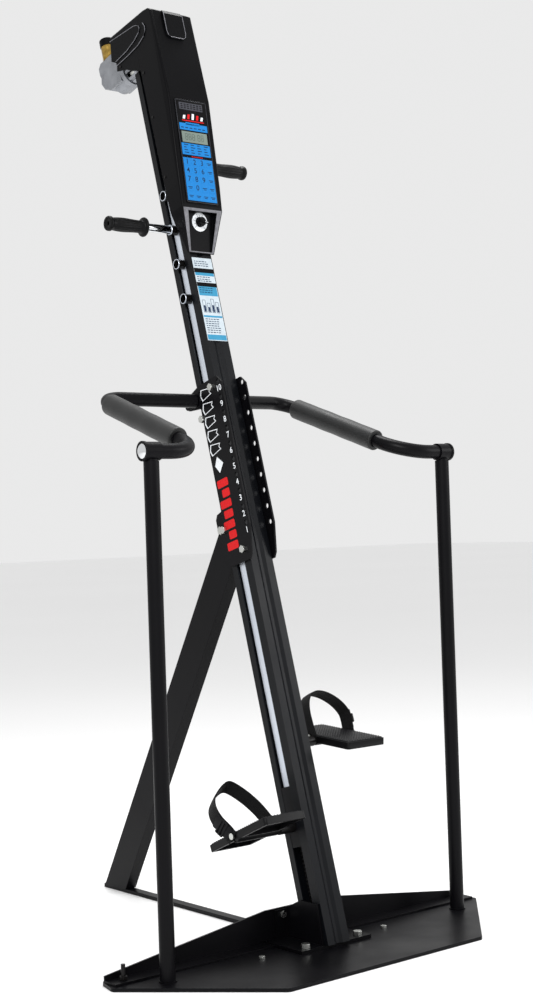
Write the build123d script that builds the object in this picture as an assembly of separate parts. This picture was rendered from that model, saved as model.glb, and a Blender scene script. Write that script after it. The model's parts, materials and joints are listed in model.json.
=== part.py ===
"""Vertical stair climber: an inclined slotted mast on a floor plate, braced by a rear strut.

Two carriages run in the side slots of the mast.  Each one carries a handle and a pivoting pedal,
and a chain over two sprockets makes them move in opposite directions.  Millimetres, +Z up,
+X to the user's right, +Y away from the user, origin on the floor at the middle of the footprint.
"""
from build123d import *
import math
import os

# ---- overall ----
BASE_WIDTH = 1133.0          # widest point of the floor plate
FOOTPRINT_DEPTH = 1150.0     # front edge of the floor plate to the rear end of the floor bar
FRONT_REACH = 170.0          # front edge of the floor plate to the front face of the mast
MAST_ANGLE = 75.0            # mast to the floor, degrees
MAST_Y = -FOOTPRINT_DEPTH / 2 + FRONT_REACH

# ---- floor frame ----
PLATE_T = 8.0
PLATE_FRONT_WIDTH = 592.0
PLATE_SIDE_Y = 276.5         # front edge to the side corners
PLATE_LENGTH = 338.0
PLATE_CORNER_R = 14.0
GUSSET_Y = 150.0             # behind the mast front line
GUSSET_T = 5.0
GUSSET_HALF = 555.0
GUSSET_END_H = 15.0
GUSSET_MID_H = 77.0
GUSSET_MID_HALF = 100.0
GUSSET_FLANGE = 42.0
FOOT_HALF = 108.0
FOOT_T = 8.0
FOOT_FRONT = 12.0
EAR_T = 6.0
EAR_H = 92.0
BAR_W = 28.0
BAR_T = 10.0

# ---- mast section ----
MAST_W = 67.0
MAST_D = 79.0
MAST_TOP = 2300.0
MOUTH_FRONT = 27.0           # slot mouth, measured back from the mast front
MOUTH_REAR = 60.0
POCKET_LIP = 4.0             # how far the pocket reaches behind each lip
LIP_T = 5.5
WEB_T = 6.0
MAST_WALL = 4.0
GROOVE_HALF = 12.5
GROOVE_DEPTH = 5.0
SLOT_MID = (MOUTH_FRONT + MOUTH_REAR) / 2
POCKET_X = MAST_W / 2 - LIP_T

# ---- carriages ----
RIGHT_SHIFT = 194.0          # the right carriage stands this much higher at rest
BAR_FLAT_W = 25.0
LINK_T = 6.0
LINK_OUT = 27.5              # outer face of the link bar
LINK_BOTTOM = 393.0
LINK_TOP = 1968.0
LINK_TENON = 50.0
SOCKET_PLACES = (1930.0, 1835.0, 1740.0, 1645.0)
HANDLE_SOCKET = 1            # index of the socket that holds the handle
SOCKET_LEN = 22.0
SOCKET_WALL = 1.5
BLOCK_BOTTOM = 250.0
GLIDE_PLACES = (430.0, 1180.0, 1915.0)
GLIDE_LEN = 40.0
SLIDE_GAP = 0.6              # clearance of blocks and glides in the pocket
PEDAL_PIVOT = 298.0
SHAFT_R = 9.0
SHAFT_COLLAR_R = 12.5
RUN_FIT = 0.05               # radial clearance of a running fit

# ---- handles ----
HANDLE_R = 11.0
HANDLE_END = 240.0
GRIP_START = 128.0
HANDLE_GAP = 1.0             # the tube's end stays outside the slot
GRIP_FLANGE_R = 25.0
GRIP_R = 17.5

# ---- pedals ----
PEDAL_IN = 86.5
PEDAL_W = 120.0
PEDAL_HEEL = 122.5
PEDAL_TOE = 108.5
PEDAL_TOP = 16.0
PEDAL_T = 17.0
TREAD_T = 4.0
TREAD_RIB_PITCH = 9.0
PEDAL_BOSS_R = 11.6
LEFT_TILT = -23.4            # toe down
RIGHT_TILT = 3.3
STRAP_W = 40.0
STRAP_T = 2.5
STRAP_LEGS = {-1: 72.0, 1: 56.0}     # straight part of each leg, left and right
STRAP_LEAN = 26.0
STRAP_Y = 6.5
STRAP_BOLT_Z = 6.0
STRAP_BOLT_R = 7.5
SHAFT_NOTCH = 1.5            # clearance of the strap round the shaft

# ---- drive ----
CHAIN_PITCH = 9.525
TEETH = 11
PITCH_R = CHAIN_PITCH / 2 / math.sin(math.pi / TEETH)
CHAIN_H = 8.0
CHAIN_W = 12.4
CHAIN_PLATE_T = 2.0
ROLLER_R = 3.3
SPROCKET_T = 5.0
HUB_R = 9.0
SHAFT_TOP_R = 5.0
TOP_AXIS = 2335.0
IDLER_AXIS = 75.0
BEARING_R = 13.0
BEARING_T = 8.0
CHANNEL_GAP = 0.5

# ---- brake ----
BRAKE_R = 33.0
BRAKE_FRONT = 80.0
BRAKE_SPLIT = 130.0
BRAKE_REAR = 232.0
BRAKE_FLANGE = 3.0           # the split flange stands out this much
BLOCK_TOP = 74.0             # top of the rear block above the shaft
BRAKE_WALL = 5.0
ROTOR_R = 24.0
TERMINAL_R = 19.0

# ---- head ----
HEAD_HALF = 66.0
HEAD_EDGE = 6.0
POD_HALF = 40.0
HEAD_WALL = 3.5
HEAD_SPLIT = 12.0
FACE_FOOT = (-48.0, 1866.0)      # depth and height of the display face's lower edge
FACE_HEAD = (-80.0, 2150.0)
POD_FOOT = (-5.0, 1752.0)
POCKET_DEP = -22.0            # middle of the dial, on the sloping pocket floor
KNOB_S = 1832.0
KNOB_R = 12.0
DIAL_R = 24.0
DIAL_T = 1.0
PANEL_HALF = 50.0
PANEL_T = 2.0

# ---- side plates, strut, rails ----
SIDE_GAP = 2.2
SIDE_T = 5.0
PLATE_HOLES = 10
PLATE_HOLE_PITCH = 40.7
PLATE_HOLE_TOP = 1401.0
PLATE_HOLE_DEP = -16.1
PLATE_HOLE_R = 6.5
STRUT_W = 34.0
STRUT_D = 86.0
STRUT_ANGLE = 30.66              # from the vertical
STRUT_FOOT_REAR = 965.0
STRUT_WALL = 4.0
YOKE_T = 5.0
POST_X = 450.0
POST_Y = 61.0
TUBE_R = 17.5
TUBE_WALL = 2.5
RAIL_Z = 1166.0
RAIL_BENDS = (48.0, 90.0)    # bend at the rear corner and at the front corner
TEE_GAP = 0.1
TEE_WALL = 3.5
COLLAR_WALL = 5.0            # collar under each end cap
SPIGOT_LEN = 40.0
FOAM_R = 26.5
FOAM_LEN = 308.0
POST_BEAD = 3.0              # weld bead round each post's foot
LUG_T = 5.3                  # bent lug between each side plate and the rail
RAIL_START = MAST_W / 2 + SIDE_GAP + SIDE_T + LUG_T
RAIL_POINTS = ((RAIL_START, 434.0, 1314.0), (294.0, 500.4, 1320.8), (312.9, 56.7, 1166.0),
               (474.0, 61.7, 1166.0))    # x, y behind the mast front line, z

COS = math.cos(math.radians(MAST_ANGLE))
SIN = math.sin(math.radians(MAST_ANGLE))
MAST_FRAME = Plane(origin=(0, MAST_Y, 0), x_dir=(1, 0, 0), z_dir=(0, COS, SIN)).location
SIDES = (-1, 1)
NAMES = {-1: "left", 1: "right"}


# ---------------------------------------------------------------- helpers
def block(x0, x1, y0, y1, z0, z1):
    """Box between two corners, whichever order they come in."""
    size = (abs(x1 - x0), abs(y1 - y0), abs(z1 - z0))
    return Pos((x0 + x1) / 2, (y0 + y1) / 2, (z0 + z1) / 2) * Box(*size)


def rod(start, end, radius):
    """Round bar from one point to another."""
    a, b = Vector(*start), Vector(*end)
    return extrude(Plane(origin=a, z_dir=b - a) * Circle(radius), amount=(b - a).length)


def ring(start, end, outer, inner):
    """Round tube from one point to another."""
    return rod(start, end, outer) - rod(start, end, inner)


def side_prism(points, x0, x1):
    """Extrude a depth-height outline from x0 to x1."""
    outline = make_face(Polyline([(x0, y, z) for y, z in points], close=True))
    return extrude(outline, amount=x1 - x0, dir=(1, 0, 0))


def front_prism(points, y0, y1):
    """Extrude a width-height outline from y0 to y1."""
    outline = make_face(Polyline([(x, y0, z) for x, z in points], close=True))
    return extrude(outline, amount=y1 - y0, dir=(0, 1, 0))


def hexagon(centre, axis, flats, height):
    """Hexagonal nut or bolt head standing on centre along axis."""
    across = flats / math.sqrt(3)
    return extrude(Plane(origin=centre, z_dir=axis) * RegularPolygon(across, 6), amount=height)


def bolt(centre, axis, flats, height, shank, length):
    """Hexagon head on a surface, with its shank going the other way."""
    c, n = Vector(*centre), Vector(*axis).normalized()
    return hexagon(centre, axis, flats, height) + rod(tuple(c), tuple(c - n * length), shank)


def in_mast(shape):
    """Move a shape from mast coordinates (x, depth behind the front, height along it)."""
    return MAST_FRAME * shape


def group(shapes):
    """Separate solids kept in one node."""
    solids = []
    for shape in shapes:
        solids += shape.solids()
    return Compound(children=solids)


def floor_y(y):
    """Row Y of a distance behind the mast front line."""
    return y + MAST_Y


# ---------------------------------------------------------------- floor frame
LEVELLERS = [(side * 520.0, floor_y(130.0)) for side in SIDES]
FOOT_BOLTS = [(side * 81.0, floor_y(30.0)) for side in SIDES]
DECK_BOLTS = [(side * 190.0, floor_y(56.0)) for side in SIDES]
BOLT_SHANK = 5.0
LEVEL_R = 5.0


def base_plate():
    front = -FOOTPRINT_DEPTH / 2
    half, nose = BASE_WIDTH / 2, PLATE_FRONT_WIDTH / 2
    side, back = front + PLATE_SIDE_Y, front + PLATE_LENGTH
    outline = [(-nose, front), (nose, front), (half, side), (half - 14, back), (14 - half, back), (-half, side)]
    plate = extrude(make_face(Polyline([(x, y, 0) for x, y in outline], close=True)), amount=PLATE_T)
    plate = fillet(plate.edges().filter_by(Axis.Z), PLATE_CORNER_R)
    for x, y in LEVELLERS + FOOT_BOLTS + DECK_BOLTS:
        plate -= rod((x, y, -1), (x, y, PLATE_T + 1), BOLT_SHANK)
    return plate


def base_gusset():
    y0 = floor_y(GUSSET_Y)
    low, mid = PLATE_T + GUSSET_END_H, PLATE_T + GUSSET_MID_H
    outline = [(-GUSSET_HALF, PLATE_T), (GUSSET_HALF, PLATE_T), (GUSSET_HALF, low), (GUSSET_MID_HALF, mid),
               (-GUSSET_MID_HALF, mid), (-GUSSET_HALF, low)]
    web = front_prism(outline, y0, y0 + GUSSET_T)
    inner = FOOT_HALF + 1
    for side in SIDES:
        web += block(side * inner, side * GUSSET_HALF, y0 - GUSSET_FLANGE, y0, PLATE_T, PLATE_T + GUSSET_T)
    for x, y in LEVELLERS:
        web -= rod((x, y, 0), (x, y, 30), LEVEL_R)
    for side in SIDES:
        web -= rod((side * 54, y0 - 1, 70), (side * 54, y0 + GUSSET_T + 1, 70), BOLT_SHANK)
    return web


def mast_foot():
    y1 = floor_y(GUSSET_Y)
    top = PLATE_T + FOOT_T
    foot = block(-FOOT_HALF, FOOT_HALF, floor_y(FOOT_FRONT), y1, PLATE_T, top)
    foot += block(-75, 75, y1 - EAR_T, y1, top, top + 66)
    for side in SIDES:
        x0 = side * MAST_W / 2
        outline = [(floor_y(18), top), (y1, top), (y1, top + 66), (floor_y(95), top + EAR_H), (floor_y(34), top + EAR_H)]
        foot += side_prism(outline, min(x0, x0 + side * EAR_T), max(x0, x0 + side * EAR_T))
    for x, y in FOOT_BOLTS:
        foot -= rod((x, y, 0), (x, y, 30), BOLT_SHANK)
    for side in SIDES:
        foot -= rod((side * 54, y1 - 20, 70), (side * 54, y1 + 1, 70), BOLT_SHANK)
    return foot


def rear_bar():
    start = -FOOTPRINT_DEPTH / 2 + PLATE_LENGTH
    bar = block(-BAR_W / 2, BAR_W / 2, start, FOOTPRINT_DEPTH / 2, 0, BAR_T)
    corner = bar.edges().filter_by(Axis.Z).sort_by(Axis.Y)[-2:]
    return fillet(corner, BAR_W * 0.3)


def strut_outline(inset):
    """Side outline of the strut, shrunk by inset; it stands on the floor bar and leans on the yoke."""
    t = math.tan(math.radians(STRUT_ANGLE))
    across = STRUT_D / math.cos(math.radians(STRUT_ANGLE))
    gap = inset / math.cos(math.radians(STRUT_ANGLE))
    rear0, front0 = STRUT_FOOT_REAR - gap, STRUT_FOOT_REAR - across + gap
    lean = COS / SIN
    wall = (MAST_D + YOKE_T + 1 + inset) / SIN
    z_low = (front0 + t * BAR_T - wall) / (lean + t)
    z_high = (rear0 + t * BAR_T - wall) / (lean + t)
    rear_cut = 28.0
    return [(floor_y(rear0), BAR_T), (floor_y(rear0 - t * (z_high - rear_cut - BAR_T)), z_high - rear_cut),
            (floor_y(wall + lean * (z_high - 12)), z_high - 12), (floor_y(wall + lean * z_low), z_low),
            (floor_y(front0), BAR_T)]


PIVOT_DEP = 103.0
PIVOT_S = 1047.0


def rear_strut():
    strut = side_prism(strut_outline(0), -STRUT_W / 2, STRUT_W / 2)
    strut -= side_prism(strut_outline(STRUT_WALL), STRUT_WALL - STRUT_W / 2, STRUT_W / 2 - STRUT_WALL)
    hole = in_mast(rod((-40, PIVOT_DEP, PIVOT_S), (40, PIVOT_DEP, PIVOT_S), BOLT_SHANK))
    return strut - hole


def strut_yoke():
    back = MAST_D + YOKE_T
    yoke = block(-30, 30, MAST_D, back, 985, 1105)
    for side in SIDES:
        x0 = side * (STRUT_W / 2 + 0.3)
        x1 = x0 + side * YOKE_T
        outline = [(back, 1002), (112, 1012), (121, 1030), (121, 1078), (113, 1090), (back, 1096)]
        yoke += side_prism(outline, min(x0, x1), max(x0, x1))
    yoke -= rod((-40, PIVOT_DEP, PIVOT_S), (40, PIVOT_DEP, PIVOT_S), BOLT_SHANK)
    return in_mast(yoke)


# ---------------------------------------------------------------- mast
PLATE_BOLTS = ((71.5, 1040.0), (12.0, 975.0), (71.5, 1330.0), (12.0, 1395.0))
LUG_DEP = RAIL_POINTS[0][1] * SIN - RAIL_POINTS[0][2] * COS
LUG_S = RAIL_POINTS[0][1] * COS + RAIL_POINTS[0][2] * SIN
LUG_REACH = TUBE_R + 12.5      # lug bolt behind the tube
LUG_BOLT = (LUG_DEP + LUG_REACH, LUG_S + 3)
LUG_HALF = 15.0


def mast():
    half = MAST_W / 2
    bar = block(-half, half, 0, MAST_D, -40, MAST_TOP)
    groove = [(-GROOVE_HALF, -1), (GROOVE_HALF, -1), (GROOVE_HALF, 0), (4, GROOVE_DEPTH), (-4, GROOVE_DEPTH), (-GROOVE_HALF, 0)]
    cut = extrude(make_face(Polyline([(x, y, -41) for x, y in groove], close=True)), amount=MAST_TOP + 42)
    bar -= cut
    inner = half - MAST_WALL
    front_back = MOUTH_FRONT - POCKET_LIP - MAST_WALL
    bar -= block(-inner, inner, GROOVE_DEPTH + MAST_WALL, front_back, -41, MAST_TOP + 1)
    rear_front = MOUTH_REAR + POCKET_LIP + MAST_WALL
    bar -= block(-inner, inner, rear_front, MAST_D - MAST_WALL, -41, MAST_TOP + 1)
    for side in SIDES:
        bar -= block(side * WEB_T / 2, side * POCKET_X, MOUTH_FRONT - POCKET_LIP, MOUTH_REAR + POCKET_LIP, -41, MAST_TOP + 1)
        bar -= block(side * POCKET_X, side * (half + 1), MOUTH_FRONT, MOUTH_REAR, -41, MAST_TOP + 1)
        for dep, s in PLATE_BOLTS:
            bar -= rod((side * (inner - 1), dep, s), (side * (half + 1), dep, s), BOLT_SHANK)
    window = IDLER_AXIS + PITCH_R + CHAIN_H
    bar -= block(-WEB_T, WEB_T, MOUTH_FRONT - POCKET_LIP, MOUTH_REAR + POCKET_LIP, -41, window)
    bar -= rod((0, front_back - 1, IDLER_AXIS), (0, rear_front + 1, IDLER_AXIS), SHAFT_TOP_R)
    bar = in_mast(bar)
    return bar - block(-80, 80, MAST_Y - 150, MAST_Y + 150, -120, PLATE_T + FOOT_T)


def side_plates():
    plates = []
    ear_dep, ear_s = LUG_BOLT[0] + LUG_HALF + 2, LUG_BOLT[1]
    outline = [(-30, 1030), (-30, 1396), (-14, 1416), (62, 1416), (ear_dep - 10, ear_s + LUG_HALF + 2),
               (ear_dep, ear_s + LUG_HALF - 8), (ear_dep, ear_s - LUG_HALF + 4), (ear_dep - 8, ear_s - LUG_HALF - 2),
               (70, ear_s - LUG_HALF - 12), (70, 1066), (86, 1040), (86, 962), (70, 945), (-4, 945), (-14, 958)]
    for side in SIDES:
        x0 = side * (MAST_W / 2 + SIDE_GAP)
        x1 = x0 + side * SIDE_T
        plate = side_prism(outline, min(x0, x1), max(x0, x1))
        for i in range(PLATE_HOLES):
            s = PLATE_HOLE_TOP - i * PLATE_HOLE_PITCH
            plate -= rod((x0 - side, PLATE_HOLE_DEP, s), (x1 + side, PLATE_HOLE_DEP, s), PLATE_HOLE_R)
        for dep, s in PLATE_BOLTS + (LUG_BOLT,):
            plate -= rod((x0 - side, dep, s), (x1 + side, dep, s), BOLT_SHANK)
        plates.append(in_mast(plate))
    return group(plates)


def plate_spacers():
    rings = []
    for side in SIDES:
        x0 = side * MAST_W / 2
        x1 = x0 + side * SIDE_GAP
        for dep, s in PLATE_BOLTS:
            rings.append(in_mast(ring((x0, dep, s), (x1, dep, s), 7.0, BOLT_SHANK)))
    return group(rings)


# ---------------------------------------------------------------- posts and rails
def rail_path(side, points):
    return [(side * x, floor_y(y), z) for x, y, z in points]


def swept(path, radius):
    """Round bar along a wire."""
    return sweep(Plane(origin=path @ 0, z_dir=path % 0) * Circle(radius), path=path)


def handrail_posts():
    posts = []
    for side in SIDES:
        x, y = side * POST_X, floor_y(POST_Y)
        top = RAIL_Z - TUBE_R - TEE_WALL - 1
        post = rod((x, y, PLATE_T), (x, y, top), TUBE_R) + rod((x, y, PLATE_T), (x, y, PLATE_T + POST_BEAD), TUBE_R + POST_BEAD)
        posts.append(post - rod((x, y, PLATE_T - 1), (x, y, top + 1), TUBE_R - TUBE_WALL))
    return group(posts)


def rail_line(side):
    return FilletPolyline(*rail_path(side, RAIL_POINTS), radius=RAIL_BENDS)


PLATE_OUT = MAST_W / 2 + SIDE_GAP + SIDE_T


def lug_outline(half):
    """Side view of the lug from the tube back to its bolt."""
    dep, s = LUG_BOLT
    return [(LUG_DEP - TUBE_R, LUG_S - TUBE_R), (LUG_DEP, LUG_S - TUBE_R), (dep + half - 4, s - half), (dep + half, s - half + 6),
            (dep + half, s + half), (LUG_DEP, LUG_S + TUBE_R), (LUG_DEP - TUBE_R, LUG_S + TUBE_R)]


def handrails():
    rails = []
    for side in SIDES:
        path = rail_line(side)
        rail = swept(path, TUBE_R) - swept(path, TUBE_R - TUBE_WALL)
        x0, x1 = side * PLATE_OUT, side * (PLATE_OUT + LUG_T)
        lug = side_prism(lug_outline(LUG_HALF), min(x0, x1), max(x0, x1))
        lug -= rod((x0 - side, *LUG_BOLT), (x1 + side, *LUG_BOLT), BOLT_SHANK)
        rails.append(rail + in_mast(lug))
    return group(rails)


def tee_frame(side):
    """End point and outward direction of the rail."""
    points = rail_path(side, RAIL_POINTS)
    end, before = Vector(*points[-1]), Vector(*points[-2])
    return end, (end - before).normalized()


def rail_tees():
    tees = []
    for side in SIDES:
        end, out = tee_frame(side)
        x, y = side * POST_X, floor_y(POST_Y)
        outer = TUBE_R + TEE_WALL
        low = RAIL_Z - outer - SPIGOT_LEN
        neck = rod((x, y, low), (x, y, RAIL_Z - TUBE_R), TUBE_R - TUBE_WALL - TEE_GAP)
        saddle = rod(tuple(end - out * 44), tuple(end - out * 6), outer)
        collar = rod(tuple(end - out * 6), tuple(end), TUBE_R + COLLAR_WALL)
        tee = neck + saddle + collar
        tees.append(tee - swept(rail_line(side), TUBE_R + TEE_GAP))
    return group(tees)


def rail_end_caps():
    caps = []
    for side in SIDES:
        end, out = tee_frame(side)
        dome = Plane(origin=end, z_dir=out).location * (Pos(0, 0, -16) * Sphere(TUBE_R + COLLAR_WALL + 0.5))
        dome -= Plane(origin=end, z_dir=out).location * Pos(0, 0, -30) * Box(80, 80, 60)
        caps.append(dome)
    return group(caps)


def foam_sleeves():
    sleeves = []
    for side in SIDES:
        points = [Vector(*p) for p in rail_path(side, RAIL_POINTS)]
        start, end = points[1], points[2]
        along = (end - start).normalized()
        before = (start - points[0]).normalized()
        bend_run = RAIL_BENDS[0] * math.tan(math.radians(before.get_angle(along)) / 2) + 1
        first = start + along * bend_run
        sleeves.append(ring(tuple(first), tuple(first + along * FOAM_LEN), FOAM_R, TUBE_R + 0.1))
    return group(sleeves)


def frame_bolts():
    bolts = []
    for side in SIDES:
        for dep, s in PLATE_BOLTS:
            reach = SIDE_T + SIDE_GAP + MAST_WALL - 0.5
            bolts.append(in_mast(bolt((side * PLATE_OUT, dep, s), (side, 0, 0), 17, 7, BOLT_SHANK, reach)))
        lug_face = PLATE_OUT + LUG_T
        bolts.append(in_mast(bolt((side * lug_face, *LUG_BOLT), (side, 0, 0), 19, 7, BOLT_SHANK, LUG_T + SIDE_T)))
        bolts.append(bolt((side * 54, floor_y(GUSSET_Y) - EAR_T, 70), (0, -1, 0), 15, 6, BOLT_SHANK, EAR_T + GUSSET_T))
        yoke_face = STRUT_W / 2 + 0.3 + YOKE_T
        pivot = in_mast(bolt((side * yoke_face, PIVOT_DEP, PIVOT_S), (side, 0, 0), 19, 8, BOLT_SHANK, yoke_face))
        bolts.append(pivot)
    for x, y in FOOT_BOLTS:
        bolts.append(bolt((x, y, PLATE_T + FOOT_T), (0, 0, 1), 19, 10, BOLT_SHANK, PLATE_T + FOOT_T - 1))
    for x, y in DECK_BOLTS:
        bolts.append(bolt((x, y, PLATE_T), (0, 0, 1), 13, 6, BOLT_SHANK, PLATE_T - 1))
    return group(bolts)


def levelling_screws():
    screws = []
    for x, y in LEVELLERS:
        top = PLATE_T + GUSSET_T
        screws.append(rod((x, y, 1), (x, y, top + 34), LEVEL_R))
        nut = hexagon((x, y, top), (0, 0, 1), 17, 8)
        screws.append(nut - rod((x, y, top - 1), (x, y, top + 9), LEVEL_R))
    return group(screws)


# ---------------------------------------------------------------- carriages and handles
def carriage_parts(side):
    """The pieces of one carriage, in mast coordinates, raised on the right."""
    rise = RIGHT_SHIFT if side > 0 else 0.0
    inner, outer = LINK_OUT - LINK_T, LINK_OUT
    low_dep, high_dep = SLOT_MID - BAR_FLAT_W / 2, SLOT_MID + BAR_FLAT_W / 2
    pocket_front = MOUTH_FRONT - POCKET_LIP + SLIDE_GAP
    pocket_rear = MOUTH_REAR + POCKET_LIP - SLIDE_GAP

    link = block(side * inner, side * outer, low_dep, high_dep, LINK_BOTTOM - LINK_TENON + rise, LINK_TOP + rise)

    body = block(side * (WEB_T / 2 + 1.5), side * (POCKET_X - 1), pocket_front, pocket_rear, BLOCK_BOTTOM + rise,
                 LINK_BOTTOM + rise)
    body += block(side * (POCKET_X - 2), side * (MAST_W / 2 - 0.5), MOUTH_FRONT + SLIDE_GAP, MOUTH_REAR - SLIDE_GAP,
                  BLOCK_BOTTOM + rise, LINK_BOTTOM + rise)
    body -= chain_channel(side)
    tenon_foot = LINK_BOTTOM - LINK_TENON + rise
    body -= block(side * (inner - 0.6), side * outer, low_dep, high_dep, tenon_foot, LINK_BOTTOM + rise + 1)
    pivot = PEDAL_PIVOT + rise
    body -= rod((side * inner, SLOT_MID, pivot), (side * (MAST_W / 2), SLOT_MID, pivot), SHAFT_R)

    pads = []
    for place in GLIDE_PLACES:
        s0, s1 = place + rise, place + rise + GLIDE_LEN
        for near, far in ((pocket_front, low_dep), (high_dep, pocket_rear)):
            pads.append(block(side * (inner - 1), side * (POCKET_X - 0.6), near, far, s0, s1))

    sockets = []
    bore = HANDLE_R + RUN_FIT
    for place in SOCKET_PLACES:
        s = place + rise
        sockets.append(ring((side * outer, SLOT_MID, s), (side * (outer + SOCKET_LEN), SLOT_MID, s), bore + SOCKET_WALL, bore))

    shaft = rod((side * inner, SLOT_MID, pivot), (side * (PEDAL_IN + PEDAL_W - 2), SLOT_MID, pivot), SHAFT_R)
    shaft += rod((side * (MAST_W / 2 + 0.5), SLOT_MID, pivot), (side * (PEDAL_IN - 8), SLOT_MID, pivot), SHAFT_COLLAR_R)
    return {"link_bar": [link], "carriage_block": [body], "carriage_glides": pads,
            "handle_sockets": sockets, "pedal_shaft": [shaft]}


def chain_channel(side):
    """Clear way through a carriage for the run of chain beside it."""
    half = CHAIN_H / 2 + CHANNEL_GAP
    width = CHAIN_W / 2 + CHANNEL_GAP
    return block(side * (PITCH_R - half), side * (PITCH_R + half), SLOT_MID - width, SLOT_MID + width, 0, MAST_TOP)


def handle_parts(side):
    """Handle tube and rubber grip in mast coordinates."""
    s = SOCKET_PLACES[HANDLE_SOCKET] + (RIGHT_SHIFT if side > 0 else 0.0)
    start, end = side * (MAST_W / 2 + HANDLE_GAP), side * (HANDLE_END - 10)
    tube = ring((start, SLOT_MID, s), (end, SLOT_MID, s), HANDLE_R, HANDLE_R - 2.5)
    bore = HANDLE_R
    a, b = GRIP_START, HANDLE_END
    profile = [(a, bore), (a, GRIP_FLANGE_R - 1), (a + 2, GRIP_FLANGE_R), (a + 6, GRIP_FLANGE_R - 1), (a + 8, GRIP_R - 1),
               (a + 25, GRIP_R - 1.5), (a + 52, GRIP_R + 0.5), (b - 14, GRIP_R - 2), (b - 9, GRIP_R + 1.5),
               (b - 2, GRIP_R + 1.5), (b, GRIP_R), (b, 5), (b - 10, 5), (b - 10, bore)]
    outline = make_face(Polyline([(x, r, 0) for x, r in profile], close=True))
    grip = revolve(outline, axis=Axis.X)
    if side < 0:
        grip = mirror(grip, about=Plane.YZ)
    return {"handle_tube": [tube], "handle_grip": [Pos(0, SLOT_MID, s) * grip]}


# ---------------------------------------------------------------- pedals
def pedal_frame(side):
    """Location of a pedal's own frame: pivot at the origin, +Y to the toe, +Z up from the tread."""
    s = PEDAL_PIVOT + (RIGHT_SHIFT if side > 0 else 0.0)
    y = floor_y(s * COS + SLOT_MID * SIN)
    z = s * SIN - SLOT_MID * COS
    return Pos(0, y, z) * Rot(RIGHT_TILT if side > 0 else LEFT_TILT, 0, 0)


def pedal_parts(side):
    x0, x1 = side * PEDAL_IN, side * (PEDAL_IN + PEDAL_W)
    place = pedal_frame(side)
    underside = PEDAL_TOP - TREAD_T - PEDAL_T
    plate = block(x0, x1, -PEDAL_HEEL, PEDAL_TOE, underside, PEDAL_TOP - TREAD_T)
    plate = fillet(plate.edges().filter_by(Axis.Z), 7)
    for low, high in ((-PEDAL_HEEL + 8, -22), (22, PEDAL_TOE - 8)):
        plate -= block(x0 + side * 8, x1 - side * 8, low, high, underside - 1, underside + PEDAL_T - 5)
    plate += rod((x0, 0, 0), (x1, 0, 0), PEDAL_BOSS_R)
    plate -= block(x0 - side, x1 + side, -20, 20, PEDAL_TOP - TREAD_T, PEDAL_TOP + 5)
    plate -= rod((x0 - side, 0, 0), (x1 + side, 0, 0), SHAFT_R + RUN_FIT)

    base_top = PEDAL_TOP - TREAD_T + 2
    tread = block(x0 + side * 4, x1 - side * 4, 4 - PEDAL_HEEL, PEDAL_TOE - 4, PEDAL_TOP - TREAD_T, base_top)
    count = int((PEDAL_HEEL + PEDAL_TOE - 16) / TREAD_RIB_PITCH)
    for i in range(count):
        y = 8 - PEDAL_HEEL + i * TREAD_RIB_PITCH
        tread += block(x0 + side * 6, x1 - side * 6, y, y + TREAD_RIB_PITCH / 2, base_top, PEDAL_TOP)

    middle = (x0 + x1) / 2
    inner = PEDAL_W / 2 + 0.3
    strap = extrude(strap_outline(inner + STRAP_T, STRAP_LEGS[side]), amount=STRAP_W / 2, both=True)
    strap -= extrude(strap_outline(inner, STRAP_LEGS[side]), amount=STRAP_W, both=True)
    buckle = block(side * (inner + STRAP_T), side * (inner + STRAP_T + 6), -STRAP_W / 2 - 2, STRAP_W / 2 + 2, 30, 52)
    strap = Rot(-STRAP_LEAN, 0, 0) * strap
    buckle = Rot(-STRAP_LEAN, 0, 0) * buckle
    lift = Pos(middle, STRAP_Y, 0)
    strap = lift * strap - rod((x0 - side * 9, 0, 0), (x0 + side * 9, 0, 0), SHAFT_R + SHAFT_NOTCH)

    heads = []
    inner_y = SHAFT_R + SHAFT_NOTCH + STRAP_BOLT_R
    for x, out, y in ((x0, -side, inner_y), (x1, side, STRAP_Y)):
        face = x + out * (0.3 + STRAP_T)
        heads.append(rod((face, y, STRAP_BOLT_Z), (face + out * 3.5, y, STRAP_BOLT_Z), STRAP_BOLT_R))
    return {"pedal_body": place * plate, "pedal_tread": place * tread,
            "pedal_strap": group([place * strap, place * lift * buckle]),
            "strap_bolts": group([place * head for head in heads])}


def strap_outline(half, leg):
    """Arch face: straight legs and a round top, in the XZ plane, open at the bottom."""
    legs = [(-half, 0, 0), (half, 0, 0), (half, 0, leg)]
    arch = ThreePointArc((half, 0, leg), (0, 0, leg + half), (-half, 0, leg))
    lines = Line(legs[0], legs[1]) + Line(legs[1], legs[2]) + arch + Line((-half, 0, leg), legs[0])
    return make_face(lines)


# ---------------------------------------------------------------- drive
def sprocket(axis_s, bore):
    """Toothed wheel in the plane across the mast, hub along its depth."""
    half = SPROCKET_T / 2
    wheel = rod((0, SLOT_MID - half, axis_s), (0, SLOT_MID + half, axis_s), PITCH_R + 1.9)
    for i in range(TEETH):
        a = 2 * math.pi * i / TEETH
        x, s = PITCH_R * math.cos(a), axis_s + PITCH_R * math.sin(a)
        wheel -= rod((x, SLOT_MID - 4, s), (x, SLOT_MID + 4, s), ROLLER_R)
    wheel += rod((0, SLOT_MID - 8, axis_s), (0, SLOT_MID + 8, axis_s), HUB_R)
    return in_mast(wheel - rod((0, 0, axis_s), (0, MAST_D, axis_s), bore))


def stadium(radius):
    """Closed outline round both sprocket axes, in width and height."""
    band = Pos(0, (IDLER_AXIS + TOP_AXIS) / 2) * Rectangle(2 * radius, TOP_AXIS - IDLER_AXIS)
    return band + Pos(0, IDLER_AXIS) * Circle(radius) + Pos(0, TOP_AXIS) * Circle(radius)


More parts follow.
